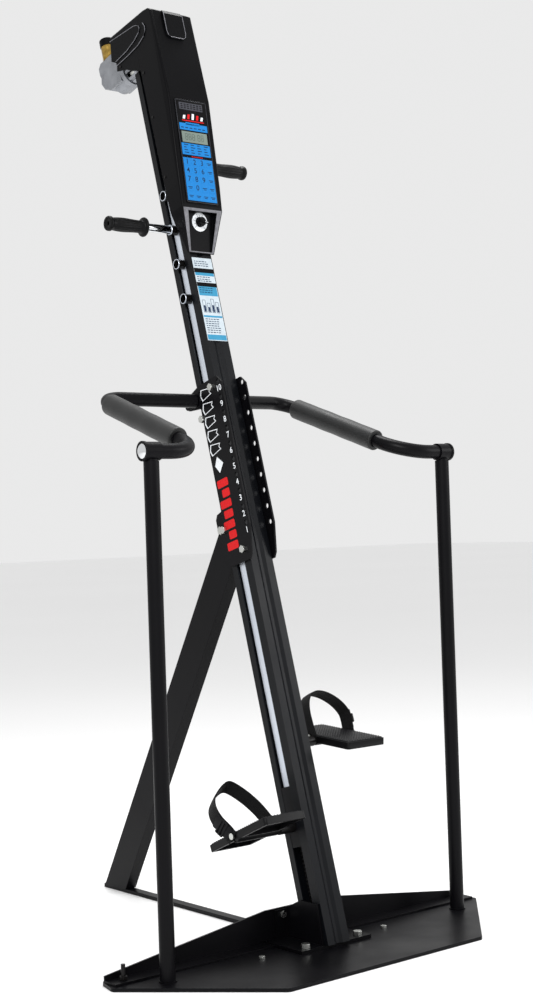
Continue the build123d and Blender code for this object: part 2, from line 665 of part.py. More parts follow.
def drive_chain():
    """The chain's two rows of link plates, each as one closed band."""
    bands = []
    outline = stadium(PITCH_R + CHAIN_H / 2) - stadium(PITCH_R - CHAIN_H / 2)
    for dep in (SLOT_MID - CHAIN_W / 2, SLOT_MID + CHAIN_W / 2 - CHAIN_PLATE_T):
        face = Plane(origin=(0, dep, 0), x_dir=(1, 0, 0), z_dir=(0, -1, 0)) * outline
        bands.append(in_mast(extrude(face, amount=CHAIN_PLATE_T, dir=(0, 1, 0))))
    return group(bands)


BRACKET_FRONT = 12.0
BRACKET_REAR = BRAKE_FRONT - 5.0


def head_bracket():
    rear0 = BRACKET_REAR - BEARING_T
    bracket = block(-30, 30, BRACKET_FRONT, BRACKET_FRONT + BEARING_T, MAST_TOP, TOP_AXIS + 37)
    bracket += block(-30, 30, rear0, BRACKET_REAR, MAST_TOP, TOP_AXIS + 37)
    bracket += block(-30, 30, BRACKET_FRONT, BRACKET_REAR, TOP_AXIS + 31, TOP_AXIS + 37)
    return in_mast(bracket - rod((0, 0, TOP_AXIS), (0, 100, TOP_AXIS), BEARING_R))


def shaft_bearings():
    races = []
    for dep in (BRACKET_FRONT, BRACKET_REAR - BEARING_T):
        races.append(in_mast(ring((0, dep, TOP_AXIS), (0, dep + BEARING_T, TOP_AXIS), BEARING_R, SHAFT_TOP_R + RUN_FIT)))
    return group(races)


ROTOR_FRONT = BRAKE_FRONT + 12


def drive_shaft():
    return in_mast(rod((0, BRACKET_FRONT - 2, TOP_AXIS), (0, ROTOR_FRONT + 26, TOP_AXIS), SHAFT_TOP_R))


def brake_rotor():
    rotor = ring((0, ROTOR_FRONT, TOP_AXIS), (0, ROTOR_FRONT + 22, TOP_AXIS), ROTOR_R, SHAFT_TOP_R)
    return in_mast(rotor)


def brake_housing_front():
    body = rod((0, BRAKE_FRONT, TOP_AXIS), (0, BRAKE_SPLIT, TOP_AXIS), BRAKE_R)
    body += rod((0, BRACKET_REAR, TOP_AXIS), (0, BRAKE_FRONT, TOP_AXIS), 28)
    body -= rod((0, BRAKE_FRONT + BRAKE_WALL, TOP_AXIS), (0, BRAKE_SPLIT + 1, TOP_AXIS), BRAKE_R - BRAKE_WALL)
    body += rod((0, BRAKE_SPLIT - 7, TOP_AXIS), (0, BRAKE_SPLIT, TOP_AXIS), BRAKE_R + BRAKE_FLANGE) \
        - rod((0, BRAKE_SPLIT - 8, TOP_AXIS), (0, BRAKE_SPLIT + 1, TOP_AXIS), BRAKE_R - BRAKE_WALL)
    body -= rod((0, 0, TOP_AXIS), (0, 200, TOP_AXIS), SHAFT_TOP_R + 1.5)
    body -= block(-BRAKE_R, -BRAKE_R + 14, BRAKE_FRONT + 9, BRAKE_SPLIT - 10, TOP_AXIS - 22, TOP_AXIS - 11)
    for i in range(12):
        a = math.radians(30 * i)
        x, s = (BRAKE_R + 1) * math.cos(a), TOP_AXIS + (BRAKE_R + 1) * math.sin(a)
        body -= rod((x, BRAKE_FRONT + 8, s), (x, BRAKE_SPLIT - 8, s), 3.0)
    return in_mast(body)


def brake_housing_rear():
    body = rod((0, BRAKE_SPLIT, TOP_AXIS), (0, BRAKE_REAR - 45, TOP_AXIS), BRAKE_R - 3)
    body += rod((0, BRAKE_SPLIT, TOP_AXIS), (0, BRAKE_SPLIT + 7, TOP_AXIS), BRAKE_R + BRAKE_FLANGE)
    top = TOP_AXIS + BLOCK_TOP
    side = [(BRAKE_SPLIT + 12, TOP_AXIS - 18), (BRAKE_REAR - 34, TOP_AXIS - 18), (BRAKE_REAR - 26, TOP_AXIS - 8),
            (BRAKE_REAR - 12, TOP_AXIS - 4), (BRAKE_REAR, TOP_AXIS + 18), (BRAKE_REAR - 4, TOP_AXIS + 34),
            (BRAKE_REAR, TOP_AXIS + 44), (BRAKE_REAR, top - 10), (BRAKE_REAR - 12, top), (BRAKE_SPLIT + 26, top),
            (BRAKE_SPLIT + 12, top - 30)]
    body += side_prism(side, -32, 32)
    body -= rod((0, BRAKE_SPLIT - 1, TOP_AXIS), (0, BRAKE_REAR - 55, TOP_AXIS), BRAKE_R - BRAKE_WALL - 8)
    return in_mast(body)


TERMINAL_FOOT = TOP_AXIS + BLOCK_TOP
TERMINAL_DEP = 200.0
TERMINAL_H = 43.0
TERMINAL_X = -12.0


def brake_terminal():
    body = rod((TERMINAL_X, TERMINAL_DEP, TERMINAL_FOOT), (TERMINAL_X, TERMINAL_DEP, TERMINAL_FOOT + TERMINAL_H), TERMINAL_R)
    body += hexagon((TERMINAL_X, TERMINAL_DEP, TERMINAL_FOOT), (0, 0, 1), 2 * TERMINAL_R, 10)
    return in_mast(body)


def terminal_cap():
    foot = TERMINAL_FOOT + TERMINAL_H
    cap = rod((TERMINAL_X, TERMINAL_DEP, foot), (TERMINAL_X, TERMINAL_DEP, foot + 22), TERMINAL_R + 1.5)
    top = cap.edges().filter_by(GeomType.CIRCLE).sort_by(Axis.Z)[-1:]
    return in_mast(fillet(top, 5))


def idler_axle():
    front = MOUTH_FRONT - POCKET_LIP - MAST_WALL
    return in_mast(rod((0, front, IDLER_AXIS), (0, MOUTH_REAR + POCKET_LIP + MAST_WALL, IDLER_AXIS), SHAFT_TOP_R))


def end_stops():
    stops = []
    for side in SIDES:
        stop = block(side * (WEB_T / 2 + 1.5), side * POCKET_X, MOUTH_FRONT - POCKET_LIP, MOUTH_REAR + POCKET_LIP, 98, 117)
        stops.append(in_mast(stop - chain_channel(side)))
    return group(stops)


# ---------------------------------------------------------------- head and console
HEAD_PROFILE = [POD_FOOT, (5, 1758), (12, 2270), (42, 2286), (72, 2306), (110, 2321), (104, 2342), (126, 2358),
                (114, 2417), (104, 2424), (-43, 2416), (-62, 2412), (-76, 2400), FACE_HEAD, FACE_FOOT]
CAVITY_PROFILE = [(-0.4, 1700), (140, 1700), (140, 2352), (123, 2357), (111, 2414.5), (103, 2421), (-43, 2413),
                  (-60.5, 2409), (-73, 2398.5), (-77, 2150.3), (-45, 1866.3), (-4, 1762), (-0.4, 1762)]


BOSS = [(113, 2414), (0, 2399), (-20, 2394), (-36, 2382), (-42, 2370), (-41, 2360), (-30, 2347), (1, 2337), (51, 2334),
        (104, 2334)]
BOSS_INNER = [(113, 2409), (2, 2393), (-10, 2389), (-20, 2382), (-21, 2375), (-15, 2366), (10, 2355), (49, 2347),
              (104, 2345)]
TONGUE = [(-30, 2403), (30, 2403), (30, 2340), (27, 2330), (20, 2325), (-20, 2325), (-27, 2330), (-30, 2340)]
POCKET_FOOT = (-3.0, 1758.0)     # depth and height where the pocket floor ends
MAST_CLEAR = -0.4
POCKET_TOP_HALF = 45.0
POCKET_FOOT_HALF = 33.0
SPINDLE_R = 3.0
SPINDLE_LEN = 8.0


def front_outline(inset):
    """Front view of the head: straight sides that draw in over the knob pocket."""
    half, pod = HEAD_HALF - inset, POD_HALF - inset
    knee = FACE_FOOT[1] - 4
    return [(-half, 2440), (half, 2440), (half, knee + 60), (half - 2, knee), (pod, POD_FOOT[1] - 60 * inset / HEAD_WALL),
            (-pod, POD_FOOT[1] - 60 * inset / HEAD_WALL), (2 - half, knee), (-half, knee + 60)]


def floor_frame():
    """Frame of the sloping pocket floor: +Z towards the user, +Y up the floor."""
    rise = (Vector(0, POCKET_DEP, KNOB_S) - Vector(0, *POCKET_FOOT)).normalized()
    return Plane(origin=(0, POCKET_DEP, KNOB_S), x_dir=(1, 0, 0), z_dir=Vector(1, 0, 0).cross(rise)).location


def head_shell():
    """Whole head before it is parted into its two covers, in mast coordinates."""
    outer = side_prism(HEAD_PROFILE, -HEAD_HALF, HEAD_HALF) & front_prism(front_outline(0), -120, 160)
    flanks = [e for e in outer.edges() if abs(abs(e.center().X) - HEAD_HALF) < 0.1 and e.center().Z > 1900
              and e.center().Y < 100 and (e.center().Y < -20 or e.center().Z > 2400)]
    outer = fillet(flanks, HEAD_EDGE)
    cavity = side_prism(CAVITY_PROFILE, -HEAD_HALF, HEAD_HALF) & front_prism(front_outline(HEAD_WALL), -120, 160)
    fill = outer & block(-70, 70, -60, MAST_CLEAR, POD_FOOT[1], FACE_FOOT[1] + 4)
    shell = outer - cavity + fill
    mouth = [(-POCKET_TOP_HALF, 24), (POCKET_TOP_HALF, 24), (POCKET_FOOT_HALF, -76), (-POCKET_FOOT_HALF, -76)]
    pocket = extrude(make_face(Polyline([(x, y, 0) for x, y in mouth], close=True)), amount=60)
    shell -= floor_frame() * pocket
    shell -= floor_frame() * extrude(Circle(SPINDLE_R + RUN_FIT), amount=-SPINDLE_LEN - 1)
    for side in SIDES:
        for outline, height in ((BOSS, 2.0), (BOSS_INNER, 4.0)):
            x0 = side * (HEAD_HALF - 1)
            shell += side_prism(outline, min(x0, x0 + side * (height + 1)), max(x0, x0 + side * (height + 1)))
    tongue = front_prism(TONGUE, -82.5, -72)
    return shell + (tongue & side_prism([(-82.5, 2320), (-82.5, 2392), (-77, 2403), (-60, 2403), (-60, 2320)], -40, 40))


def head_cover():
    return in_mast(head_shell() & block(-90, 90, -120, HEAD_SPLIT, 1700, 2500))


def head_rear_cover():
    cover = head_shell() & block(-90, 90, HEAD_SPLIT, 200, 2272, 2500)
    return in_mast(cover - rod((0, HEAD_SPLIT, TOP_AXIS), (0, 200, TOP_AXIS), BRAKE_R + BRAKE_FLANGE + 2))


def face_frame():
    """Display face: x to the right, y up the face, z out of it, from the middle of its lower edge."""
    run, rise = FACE_HEAD[0] - FACE_FOOT[0], FACE_HEAD[1] - FACE_FOOT[1]
    length = math.hypot(run, rise)
    normal = (0, -rise / length, run / length)
    return Plane(origin=(0, *FACE_FOOT), x_dir=(1, 0, 0), z_dir=normal).location


def on_face(shape):
    return in_mast(face_frame() * shape)


PANEL_LOW, PANEL_HIGH = 4.0, 282.0
WINDOW = (-40.0, 40.0, 166.0, 195.0)
KEYS = (-46.0, 46.0, 10.0, 124.0)
KEY_ROWS, KEY_COLUMNS = 5, 4


def console_panel():
    panel = block(-PANEL_HALF, PANEL_HALF, PANEL_LOW, PANEL_HIGH, 0, PANEL_T)
    panel = fillet(panel.edges().filter_by(Axis.Z), 4)
    panel -= block(*WINDOW, 0.8, PANEL_T + 1)
    return on_face(panel)


def display_window():
    return on_face(block(*WINDOW, 0.8, PANEL_T + 0.3))


def keypad():
    sheet = block(*KEYS, PANEL_T, PANEL_T + 0.8)
    wide = (KEYS[1] - KEYS[0]) / KEY_COLUMNS
    tall = (KEYS[3] - KEYS[2]) / KEY_ROWS
    for row in range(KEY_ROWS):
        for column in range(KEY_COLUMNS):
            x, y = KEYS[0] + wide * (column + 0.5), KEYS[2] + tall * (row + 0.5)
            sheet += block(x - wide * 0.4, x + wide * 0.4, y - tall * 0.38, y + tall * 0.38, PANEL_T, PANEL_T + 1.3)
    return on_face(sheet)


def knob_dial():
    dial = extrude(Circle(DIAL_R) - Circle(KNOB_R), amount=DIAL_T)
    return in_mast(floor_frame() * dial)


def resistance_knob():
    knob = Pos(0, 0, 0.4) * extrude(Circle(KNOB_R - 0.4), amount=13.6)
    knob += block(-2, 2, -9, 11, 13, 17)
    knob += Pos(0, 0, -SPINDLE_LEN) * extrude(Circle(SPINDLE_R), amount=SPINDLE_LEN + 1)
    knob = floor_frame() * knob
    return in_mast(knob)


def info_label():
    return in_mast(block(-31, 31, -0.6, 0, 1516, 1742))


def head_screws():
    screws = []
    for side in SIDES:
        for dep, s in ((1, 2258), (0, 2130), (-2, 1960), (92, 2325)):
            screws.append(in_mast(rod((side * HEAD_HALF, dep, s), (side * (HEAD_HALF + 1.6), dep, s), 3.5)))
    return group(screws)


# ---------------------------------------------------------------- assembly
def all_parts():
    """Every node's shape by name."""
    parts = {maker.__name__: maker() for maker in (
        base_plate, base_gusset, mast_foot, rear_bar, rear_strut, strut_yoke, mast, side_plates, plate_spacers,
        handrail_posts, handrails, rail_tees, rail_end_caps, foam_sleeves, frame_bolts,
        levelling_screws, drive_chain, head_bracket, shaft_bearings, drive_shaft, brake_rotor,
        brake_housing_front, brake_housing_rear, brake_terminal, terminal_cap, idler_axle, end_stops,
        head_cover, head_rear_cover, console_panel, display_window, keypad, knob_dial, resistance_knob,
        info_label, head_screws)}
    parts["top_sprocket"] = sprocket(TOP_AXIS, SHAFT_TOP_R)
    parts["idler_sprocket"] = sprocket(IDLER_AXIS, SHAFT_TOP_R + RUN_FIT)
    for side in SIDES:
        for name, shapes in {**carriage_parts(side), **handle_parts(side)}.items():
            parts[f"{name}_{NAMES[side]}"] = group([in_mast(shape) for shape in shapes])
        for name, shape in pedal_parts(side).items():
            parts[f"{name}_{NAMES[side]}"] = shape
    return parts


os.makedirs("parts", exist_ok=True)
for node, shape in all_parts().items():
    export_step(shape, f"parts/{node}.step")
    print(node, len(shape.solids()), round(shape.volume / 1000, 1))
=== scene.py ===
"""Looks of a vertical stair climber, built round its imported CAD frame.

Every piece is made in mast, console or pedal coordinates and carried into the row frame, in metres.
"""

import json
import logging
import math
from dataclasses import dataclass, field
from enum import Enum

import bmesh
import bpy
from mathutils import Matrix, Vector


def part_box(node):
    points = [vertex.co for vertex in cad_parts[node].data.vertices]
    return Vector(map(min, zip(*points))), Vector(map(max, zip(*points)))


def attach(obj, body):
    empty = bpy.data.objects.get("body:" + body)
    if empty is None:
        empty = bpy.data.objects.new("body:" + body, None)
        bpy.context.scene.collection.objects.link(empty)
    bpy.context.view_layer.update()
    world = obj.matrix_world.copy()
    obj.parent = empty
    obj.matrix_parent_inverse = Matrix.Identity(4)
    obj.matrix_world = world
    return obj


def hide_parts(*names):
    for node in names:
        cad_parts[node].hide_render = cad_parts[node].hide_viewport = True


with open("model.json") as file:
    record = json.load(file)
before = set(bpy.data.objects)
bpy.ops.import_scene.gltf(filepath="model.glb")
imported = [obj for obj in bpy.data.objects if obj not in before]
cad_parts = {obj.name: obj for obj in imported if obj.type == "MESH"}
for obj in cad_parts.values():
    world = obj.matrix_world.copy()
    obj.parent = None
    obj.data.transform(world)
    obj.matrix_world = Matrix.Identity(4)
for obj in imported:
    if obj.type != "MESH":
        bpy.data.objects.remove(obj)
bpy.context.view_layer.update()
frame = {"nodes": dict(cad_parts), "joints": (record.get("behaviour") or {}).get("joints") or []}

LOG = logging.getLogger("stair_climber")
MM = 0.001
SIDES = (-1, 1)
SIDE_NAMES = {-1: "left", 1: "right"}


# ------------------------------------------------------------------ places taken from the frame
def joint(name: str) -> dict:
    """One joint of the record.

    Args:
        name: the joint's name.

    Returns:
        The joint's own entry.
    """
    return next(entry for entry in frame["joints"] if entry["name"] == name)


SLOT_MID = 43.5 * MM
IDLER_S = 75.0 * MM
UP_MAST = Vector(joint("carriage_left_slide")["axis"]).normalized()
INTO_MAST = Vector(joint("idler_spin")["axis"]).normalized()
MAST_FOOT = Vector(joint("idler_spin")["pos_m"]) - INTO_MAST * SLOT_MID - UP_MAST * IDLER_S
MAST_TILT = math.atan2(UP_MAST.z, UP_MAST.y)
PEDAL_TILT = {-1: math.radians(-23.4), 1: math.radians(3.3)}


def basis(origin: Vector, x: Vector, y: Vector, z: Vector) -> Matrix:
    """Matrix of a local frame.

    Args:
        origin: where the frame sits.
        x: first axis.
        y: second axis.
        z: third axis.

    Returns:
        The matrix that carries local points into the row frame.
    """
    turn = Matrix((x, y, z)).transposed().to_4x4()
    return Matrix.Translation(origin) @ turn


ROW = Matrix.Identity(4)
MAST = basis(MAST_FOOT, Vector((1, 0, 0)), INTO_MAST, UP_MAST)
FACE_FOOT = Vector((0, -48.0, 1866.0)) * MM
FACE_HEAD = Vector((0, -80.0, 2150.0)) * MM
FACE_UP = (FACE_HEAD - FACE_FOOT).normalized()
FACE = MAST @ basis(FACE_FOOT, Vector((1, 0, 0)), FACE_UP, Vector((1, 0, 0)).cross(FACE_UP))


def pedal_frame(side: int) -> Matrix:
    """Frame of a pedal: pivot at the origin, +Y to the toe, +Z out of the tread.

    Args:
        side: -1 for the left pedal, 1 for the right one.

    Returns:
        The matrix from pedal coordinates to the row frame.
    """
    pivot = Vector(joint(f"pedal_{SIDE_NAMES[side]}_tilt")["pos_m"])
    return Matrix.Translation(pivot) @ Matrix.Rotation(PEDAL_TILT[side], 4, "X")


# ------------------------------------------------------------------ finishes
def linear(code: str) -> tuple[float, float, float, float]:
    """Linear colour of an sRGB hex value.

    Args:
        code: six hex digits after a hash sign.

    Returns:
        Linear red, green, blue and an alpha of 1.
    """
    values = [int(code[i:i + 2], 16) / 255 for i in (1, 3, 5)]
    return tuple(v / 12.92 if v <= 0.04045 else ((v + 0.055) / 1.055) ** 2.4 for v in values) + (1.0,)


def add_node(tree: bpy.types.NodeTree, kind: str, settings: dict | None = None, **inputs) -> bpy.types.Node:
    """Add a node with its settings and links.

    Args:
        tree: the node tree.
        kind: the node's type name.
        settings: the node's own properties.
        inputs: values or output sockets by input name, with _ for a space, or i0, i1 by place.

    Returns:
        The new node.
    """
    node = tree.nodes.new(kind)
    for key, value in (settings or {}).items():
        setattr(node, key, value)
    for key, value in inputs.items():
        place = int(key[1:]) if key[0] == "i" and key[1:].isdigit() else key.replace("_", " ")
        socket = node.inputs[place]
        if isinstance(value, bpy.types.NodeSocket):
            tree.links.new(value, socket)
        else:
            socket.default_value = value
    return node


def empty_material(name: str) -> tuple[bpy.types.Material, bpy.types.NodeTree]:
    """Add a material whose shader tree is empty.

    Args:
        name: the material's name.

    Returns:
        The material and its tree.
    """
    material = bpy.data.materials.new(name)
    material.use_nodes = True
    material.node_tree.nodes.clear()
    return material, material.node_tree


LINE_STRETCH = 60            # how many times longer than wide a drawn line is
WAVE_BANDS = 20              # the wave texture draws one band for each 2 pi / 20


class Pattern(Enum):
    """How a surface was made, which sets its fine relief."""

    PEEL = "orange peel of a sprayed powder coat"
    GRAIN = "spark-eroded grain of a mould"
    BRUSHED = "lines left by drawing or brushing"
    CAST = "pits of a blasted casting"
    PORES = "open skin of cut foam"
    PLAIN = "smooth, with faint waves"


@dataclass(frozen=True)
class Finish:
    """A surface finish with a procedural pattern on object coordinates."""

    name: str
    base: str
    tint: str
    roughness: float
    spread: float = 0.06
    metallic: float = 0.0
    pattern: Pattern = Pattern.PLAIN
    grain_mm: float = 1.0
    relief_mm: float = 0.0
    sheen: float = 0.0
    patch_mm: float = 160.0
    specular: float = 0.5

    def material(self) -> bpy.types.Material:
        """The material of this finish, made once."""
        found = bpy.data.materials.get(self.name)
        return found if found else self.build()

    def build(self) -> bpy.types.Material:
        """Write the shader tree.

        Returns:
            The new material.
        """
        material, tree = empty_material(self.name)
        shader = add_node(tree, "ShaderNodeBsdfPrincipled", Metallic=self.metallic, Sheen_Weight=self.sheen,
                          Specular_IOR_Level=self.specular)
        place = add_node(tree, "ShaderNodeTexCoord").outputs["Object"]
        patches = add_node(tree, "ShaderNodeTexNoise", Vector=place, Scale=1 / (self.patch_mm * MM),
                           Detail=3.0)
        grain = self.grain(tree, place)
        tones = add_node(tree, "ShaderNodeMixRGB", i1=linear(self.base), i2=linear(self.tint),
                         i0=patches.outputs[0])
        tree.links.new(tones.outputs[0], shader.inputs["Base Color"])
        rough = add_node(tree, "ShaderNodeMapRange", Value=patches.outputs[0], From_Min=0.3, From_Max=0.7,
                         To_Min=self.roughness - self.spread, To_Max=self.roughness + self.spread)
        tree.links.new(rough.outputs[0], shader.inputs["Roughness"])
        if self.relief_mm:
            bump = add_node(tree, "ShaderNodeBump", Strength=1.0, Distance=self.relief_mm * MM, Height=grain)
            tree.links.new(bump.outputs[0], shader.inputs["Normal"])
        output = add_node(tree, "ShaderNodeOutputMaterial")
        tree.links.new(shader.outputs[0], output.inputs[0])
        return material

    def grain(self, tree: bpy.types.NodeTree, place: bpy.types.NodeSocket) -> bpy.types.NodeSocket:
        """Height of the fine relief.

        Args:
            tree: the material's tree.
            place: object coordinates.

        Returns:
            A socket with the relief's height.
        """
        fine = 1 / (self.grain_mm * MM)
        if self.pattern is Pattern.BRUSHED:
            turned = add_node(tree, "ShaderNodeMapping", Vector=place,
                              Rotation=(math.pi / 2 - MAST_TILT, 0, 0),
                              Scale=(fine, fine, fine / LINE_STRETCH))
            node = add_node(tree, "ShaderNodeTexNoise", Vector=turned.outputs[0], Scale=1.0, Detail=2.0)
        elif self.pattern in (Pattern.CAST, Pattern.PORES):
            node = add_node(tree, "ShaderNodeTexVoronoi", Vector=place, Scale=fine, Randomness=1.0)
        else:
            node = add_node(tree, "ShaderNodeTexNoise", Vector=place, Scale=fine, Detail=4.0, Roughness=0.6)
        return node.outputs[0]


@dataclass(frozen=True)
class Webbing:
    """Woven nylon webbing on a piece whose UV map is in metres across and along."""

    name: str = "woven_nylon_webbing"
    base: str = "#030304"
    tint: str = "#09090a"
    thread_mm: float = 1.6       # coarser than the real 0.8 mm thread, so that the weave shows
    relief_mm: float = 0.3

    def material(self) -> bpy.types.Material:
        """The material of the webbing, made once."""
        found = bpy.data.materials.get(self.name)
        return found if found else self.build()

    def build(self) -> bpy.types.Material:
        """Write the weave: ribs across, broken by warp threads.

        Returns:
            The new material.
        """
        material, tree = empty_material(self.name)
        place = add_node(tree, "ShaderNodeUVMap", {"uv_map": "cloth"}).outputs[0]
        turns = 2 * math.pi / (self.thread_mm * MM) / WAVE_BANDS
        weft = add_node(tree, "ShaderNodeTexWave", {"bands_direction": "Y"}, Vector=place, Scale=turns)
        warp = add_node(tree, "ShaderNodeTexWave", {"bands_direction": "X"}, Vector=place, Scale=turns * 1.6)
        weave = add_node(tree, "ShaderNodeMath", {"operation": "MULTIPLY"}, i0=weft.outputs[1],
                         i1=warp.outputs[1])
        tones = add_node(tree, "ShaderNodeMixRGB", i0=weave.outputs[0], i1=linear(self.base),
                         i2=linear(self.tint))
        bump = add_node(tree, "ShaderNodeBump", Strength=0.9, Distance=self.relief_mm * MM,
                        Height=weave.outputs[0])
        shader = add_node(tree, "ShaderNodeBsdfPrincipled", Roughness=0.75, Sheen_Weight=0.04,
                          Specular_IOR_Level=0.12, Base_Color=tones.outputs[0], Normal=bump.outputs[0])
        output = add_node(tree, "ShaderNodeOutputMaterial")
        tree.links.new(shader.outputs[0], output.inputs[0])
        return material


# Black powder coat over steel: deep black, a soft sheen, fine orange peel.
POWDER_COAT = Finish("black_powder_coat", "#050506", "#0a090d", 0.38, pattern=Pattern.PEEL, grain_mm=1.6,
                     relief_mm=0.05, specular=0.1)
# Black anodised aluminium: slightly blue, metal glints under the dye, lines along the extrusion.
ANODISED = Finish("black_anodised_extrusion", "#07080b", "#0d0f13", 0.36, metallic=0.08,
                  pattern=Pattern.BRUSHED, grain_mm=0.7, relief_mm=0.03, specular=0.15)
# Bright drawn steel bar: cool white with fine lines along it.
DRAWN_STEEL = Finish("bright_drawn_steel", "#c3cbd8", "#e3e8ef", 0.36, metallic=0.8, pattern=Pattern.BRUSHED,
                     grain_mm=0.6, relief_mm=0.03)
# Black oxide over steel, on sockets, shafts, sprockets, head screws and chain: dull, faintly brown.
BLACK_OXIDE = Finish("black_oxide_steel", "#0d0c0c", "#151414", 0.34, metallic=0.3, grain_mm=0.9,
                     relief_mm=0.02, patch_mm=25, specular=0.25)
# Zinc plated steel, on bolts, bearings, the drive shaft and the brake disc: bright neutral grey.
ZINC = Finish("zinc_plated_steel", "#b9bbb8", "#d3d4cf", 0.3, metallic=1.0, grain_mm=0.8, relief_mm=0.01,
              patch_mm=20)
# Polished chrome tube and caps: sharp reflections, few waves.
CHROME = Finish("polished_chrome", "#d8dadc", "#e6e8ea", 0.1, spread=0.03, metallic=1.0, patch_mm=60)
# Blasted aluminium die casting: pale, dull, pitted.
DIE_CAST = Finish("blasted_die_cast_aluminium", "#75777c", "#a6a9ae", 0.3, metallic=0.9, pattern=Pattern.CAST,
                  grain_mm=1.6, relief_mm=0.08, patch_mm=24)
# Turned brass body: warm, bright, darker where it is tarnished.
BRASS = Finish("turned_brass", "#4a3814", "#d2ae5c", 0.24, metallic=1.0, patch_mm=12)
# ABS head covers with a moulded leather-fine grain.
ABS_BLACK = Finish("black_grained_abs", "#040405", "#08080b", 0.4, pattern=Pattern.GRAIN, grain_mm=0.9,
                   relief_mm=0.06, specular=0.07)
# The same moulding in light grey: a painted highlight on the head's beads, and the light grey band round the
# knob pocket.
ABS_GREY_RIM_AND_PAINTED_HIGHLIGHT = Finish("rubbed_grey_abs", "#3b3b40", "#8a8a90", 0.42, pattern=Pattern.GRAIN, grain_mm=0.9,
                    relief_mm=0.06, patch_mm=9, specular=0.3)
# Acetal blocks and glides.
ACETAL = Finish("black_acetal", "#08080a", "#0d0d10", 0.42, grain_mm=1.2, relief_mm=0.02, specular=0.12)
# Moulded rubber of grips and stops.
RUBBER = Finish("moulded_black_rubber", "#030304", "#060607", 0.42, pattern=Pattern.GRAIN, grain_mm=0.8,
                relief_mm=0.05, specular=0.14)
# Tread rubber, greyed by shoes.
TREAD = Finish("worn_tread_rubber", "#0b0b0d", "#151518", 0.5, pattern=Pattern.GRAIN, grain_mm=1.0,
               relief_mm=0.06, patch_mm=40, specular=0.22)
# Closed-cell foam sleeve: a broad soft shine.
FOAM = Finish("closed_cell_foam", "#0a0b0b", "#121313", 0.5, pattern=Pattern.PORES, grain_mm=1.1,
              relief_mm=0.1, sheen=0.08, specular=0.4)
# Coated pedal casting.
PEDAL_COAT = Finish("black_coated_casting", "#050506", "#09090b", 0.4, pattern=Pattern.CAST, grain_mm=1.2,
                    relief_mm=0.03, specular=0.14)
# Printed overlays: a smooth polyester film over ink.
PRINT_BLACK = Finish("black_printed_overlay", "#050506", "#09090b", 0.28, grain_mm=2.0, relief_mm=0.004,
                     specular=0.1)
PRINT_BLUE = Finish("blue_printed_overlay", "#0a70b8", "#127cc4", 0.4, grain_mm=2.0, relief_mm=0.01,
                    specular=0.2)
PRINT_WHITE = Finish("white_printed_overlay", "#d9dde1", "#e8ebee", 0.4, specular=0.3)
# Paper labels under a matt film: duller than the overlays, slightly mottled.
LABEL_WHITE = Finish("white_paper_label", "#a9b6bf", "#c9d3d9", 0.45, patch_mm=18, specular=0.2)
LABEL_BLUE = Finish("blue_paper_label", "#2a7ca3", "#3f93b6", 0.45, patch_mm=18, specular=0.2)
PRINT_RED = Finish("red_printed_overlay", "#c2060c", "#d20d12", 0.42, specular=0.2)
PRINT_GREY = Finish("grey_printed_overlay", "#2c2d33", "#45464e", 0.35, patch_mm=12, specular=0.3)
INK_NAVY = Finish("navy_ink", "#04203f", "#06284c", 0.4, specular=0.2)
# Unlit display: a grey-green window with segments a little darker.
LCD = Finish("liquid_crystal_window", "#64706a", "#7c8a80", 0.2, patch_mm=40, specular=0.5)
LCD_INK = Finish("liquid_crystal_segment", "#3c4640", "#465049", 0.3, specular=0.2)
# Woven nylon: black, matt, ribbed.
WEBBING = Webbing()
# Floor of the pictures, not part of the machine.
STUDIO = Finish("pale_studio_floor", "#f4f4f4", "#f8f8f8", 0.9, patch_mm=4000)

def both(*stems: str) -> tuple[str, ...]:
    """Names of the left and the right piece of each stem."""
    return tuple(f"{stem}_{side}" for stem in stems for side in SIDE_NAMES.values())


NODE_FINISH = {
    POWDER_COAT: ("base_plate", "base_gusset", "mast_foot", "rear_bar", "rear_strut", "strut_yoke",
                  "side_plates", "handrail_posts", "handrails", "rail_tees"),
    ANODISED: ("mast",),
    DRAWN_STEEL: both("link_bar"),
    BLACK_OXIDE: (*both("handle_sockets", "pedal_shaft"), "head_screws", "levelling_screws", "plate_spacers",
                  "idler_axle", "top_sprocket", "idler_sprocket", "drive_chain"),
    ZINC: ("frame_bolts", *both("strap_bolts"), "shaft_bearings", "drive_shaft", "brake_rotor"),
    CHROME: (*both("handle_tube"), "rail_end_caps"),
    DIE_CAST: ("brake_housing_front", "brake_housing_rear", "head_bracket"),
    BRASS: ("brake_terminal",),
    ABS_BLACK: ("head_cover", "head_rear_cover", "terminal_cap", "resistance_knob"),
    ACETAL: both("carriage_block", "carriage_glides"),
    RUBBER: (*both("handle_grip"), "end_stops"),
    TREAD: both("pedal_tread"),
    FOAM: ("foam_sleeves",),
    PEDAL_COAT: both("pedal_body"),
    PRINT_BLACK: ("console_panel",),
    PRINT_BLUE: ("keypad",),
    PRINT_WHITE: ("knob_dial",),
    LABEL_WHITE: ("info_label",),
    LCD: ("display_window",),
    WEBBING: both("pedal_strap"),
}


# ------------------------------------------------------------------ mesh helpers
def piece(name: str, mesh: bpy.types.Mesh, finish: Finish | Webbing, body: str) -> bpy.types.Object:
    """Put a finished mesh in the scene and let it ride on a body.

    Args:
        name: the piece's name.
        mesh: its mesh, in the row frame.
        finish: its finish.
        body: the CAD body it moves with.

    Returns:
        The new object.
    """
    obj = bpy.data.objects.new(name, mesh)
    bpy.context.scene.collection.objects.link(obj)
    mesh.materials.clear()
    mesh.materials.append(finish.material())
    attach(obj, body)
    LOG.info("%s rides on %s, %d faces", name, body, len(mesh.polygons))
    return obj


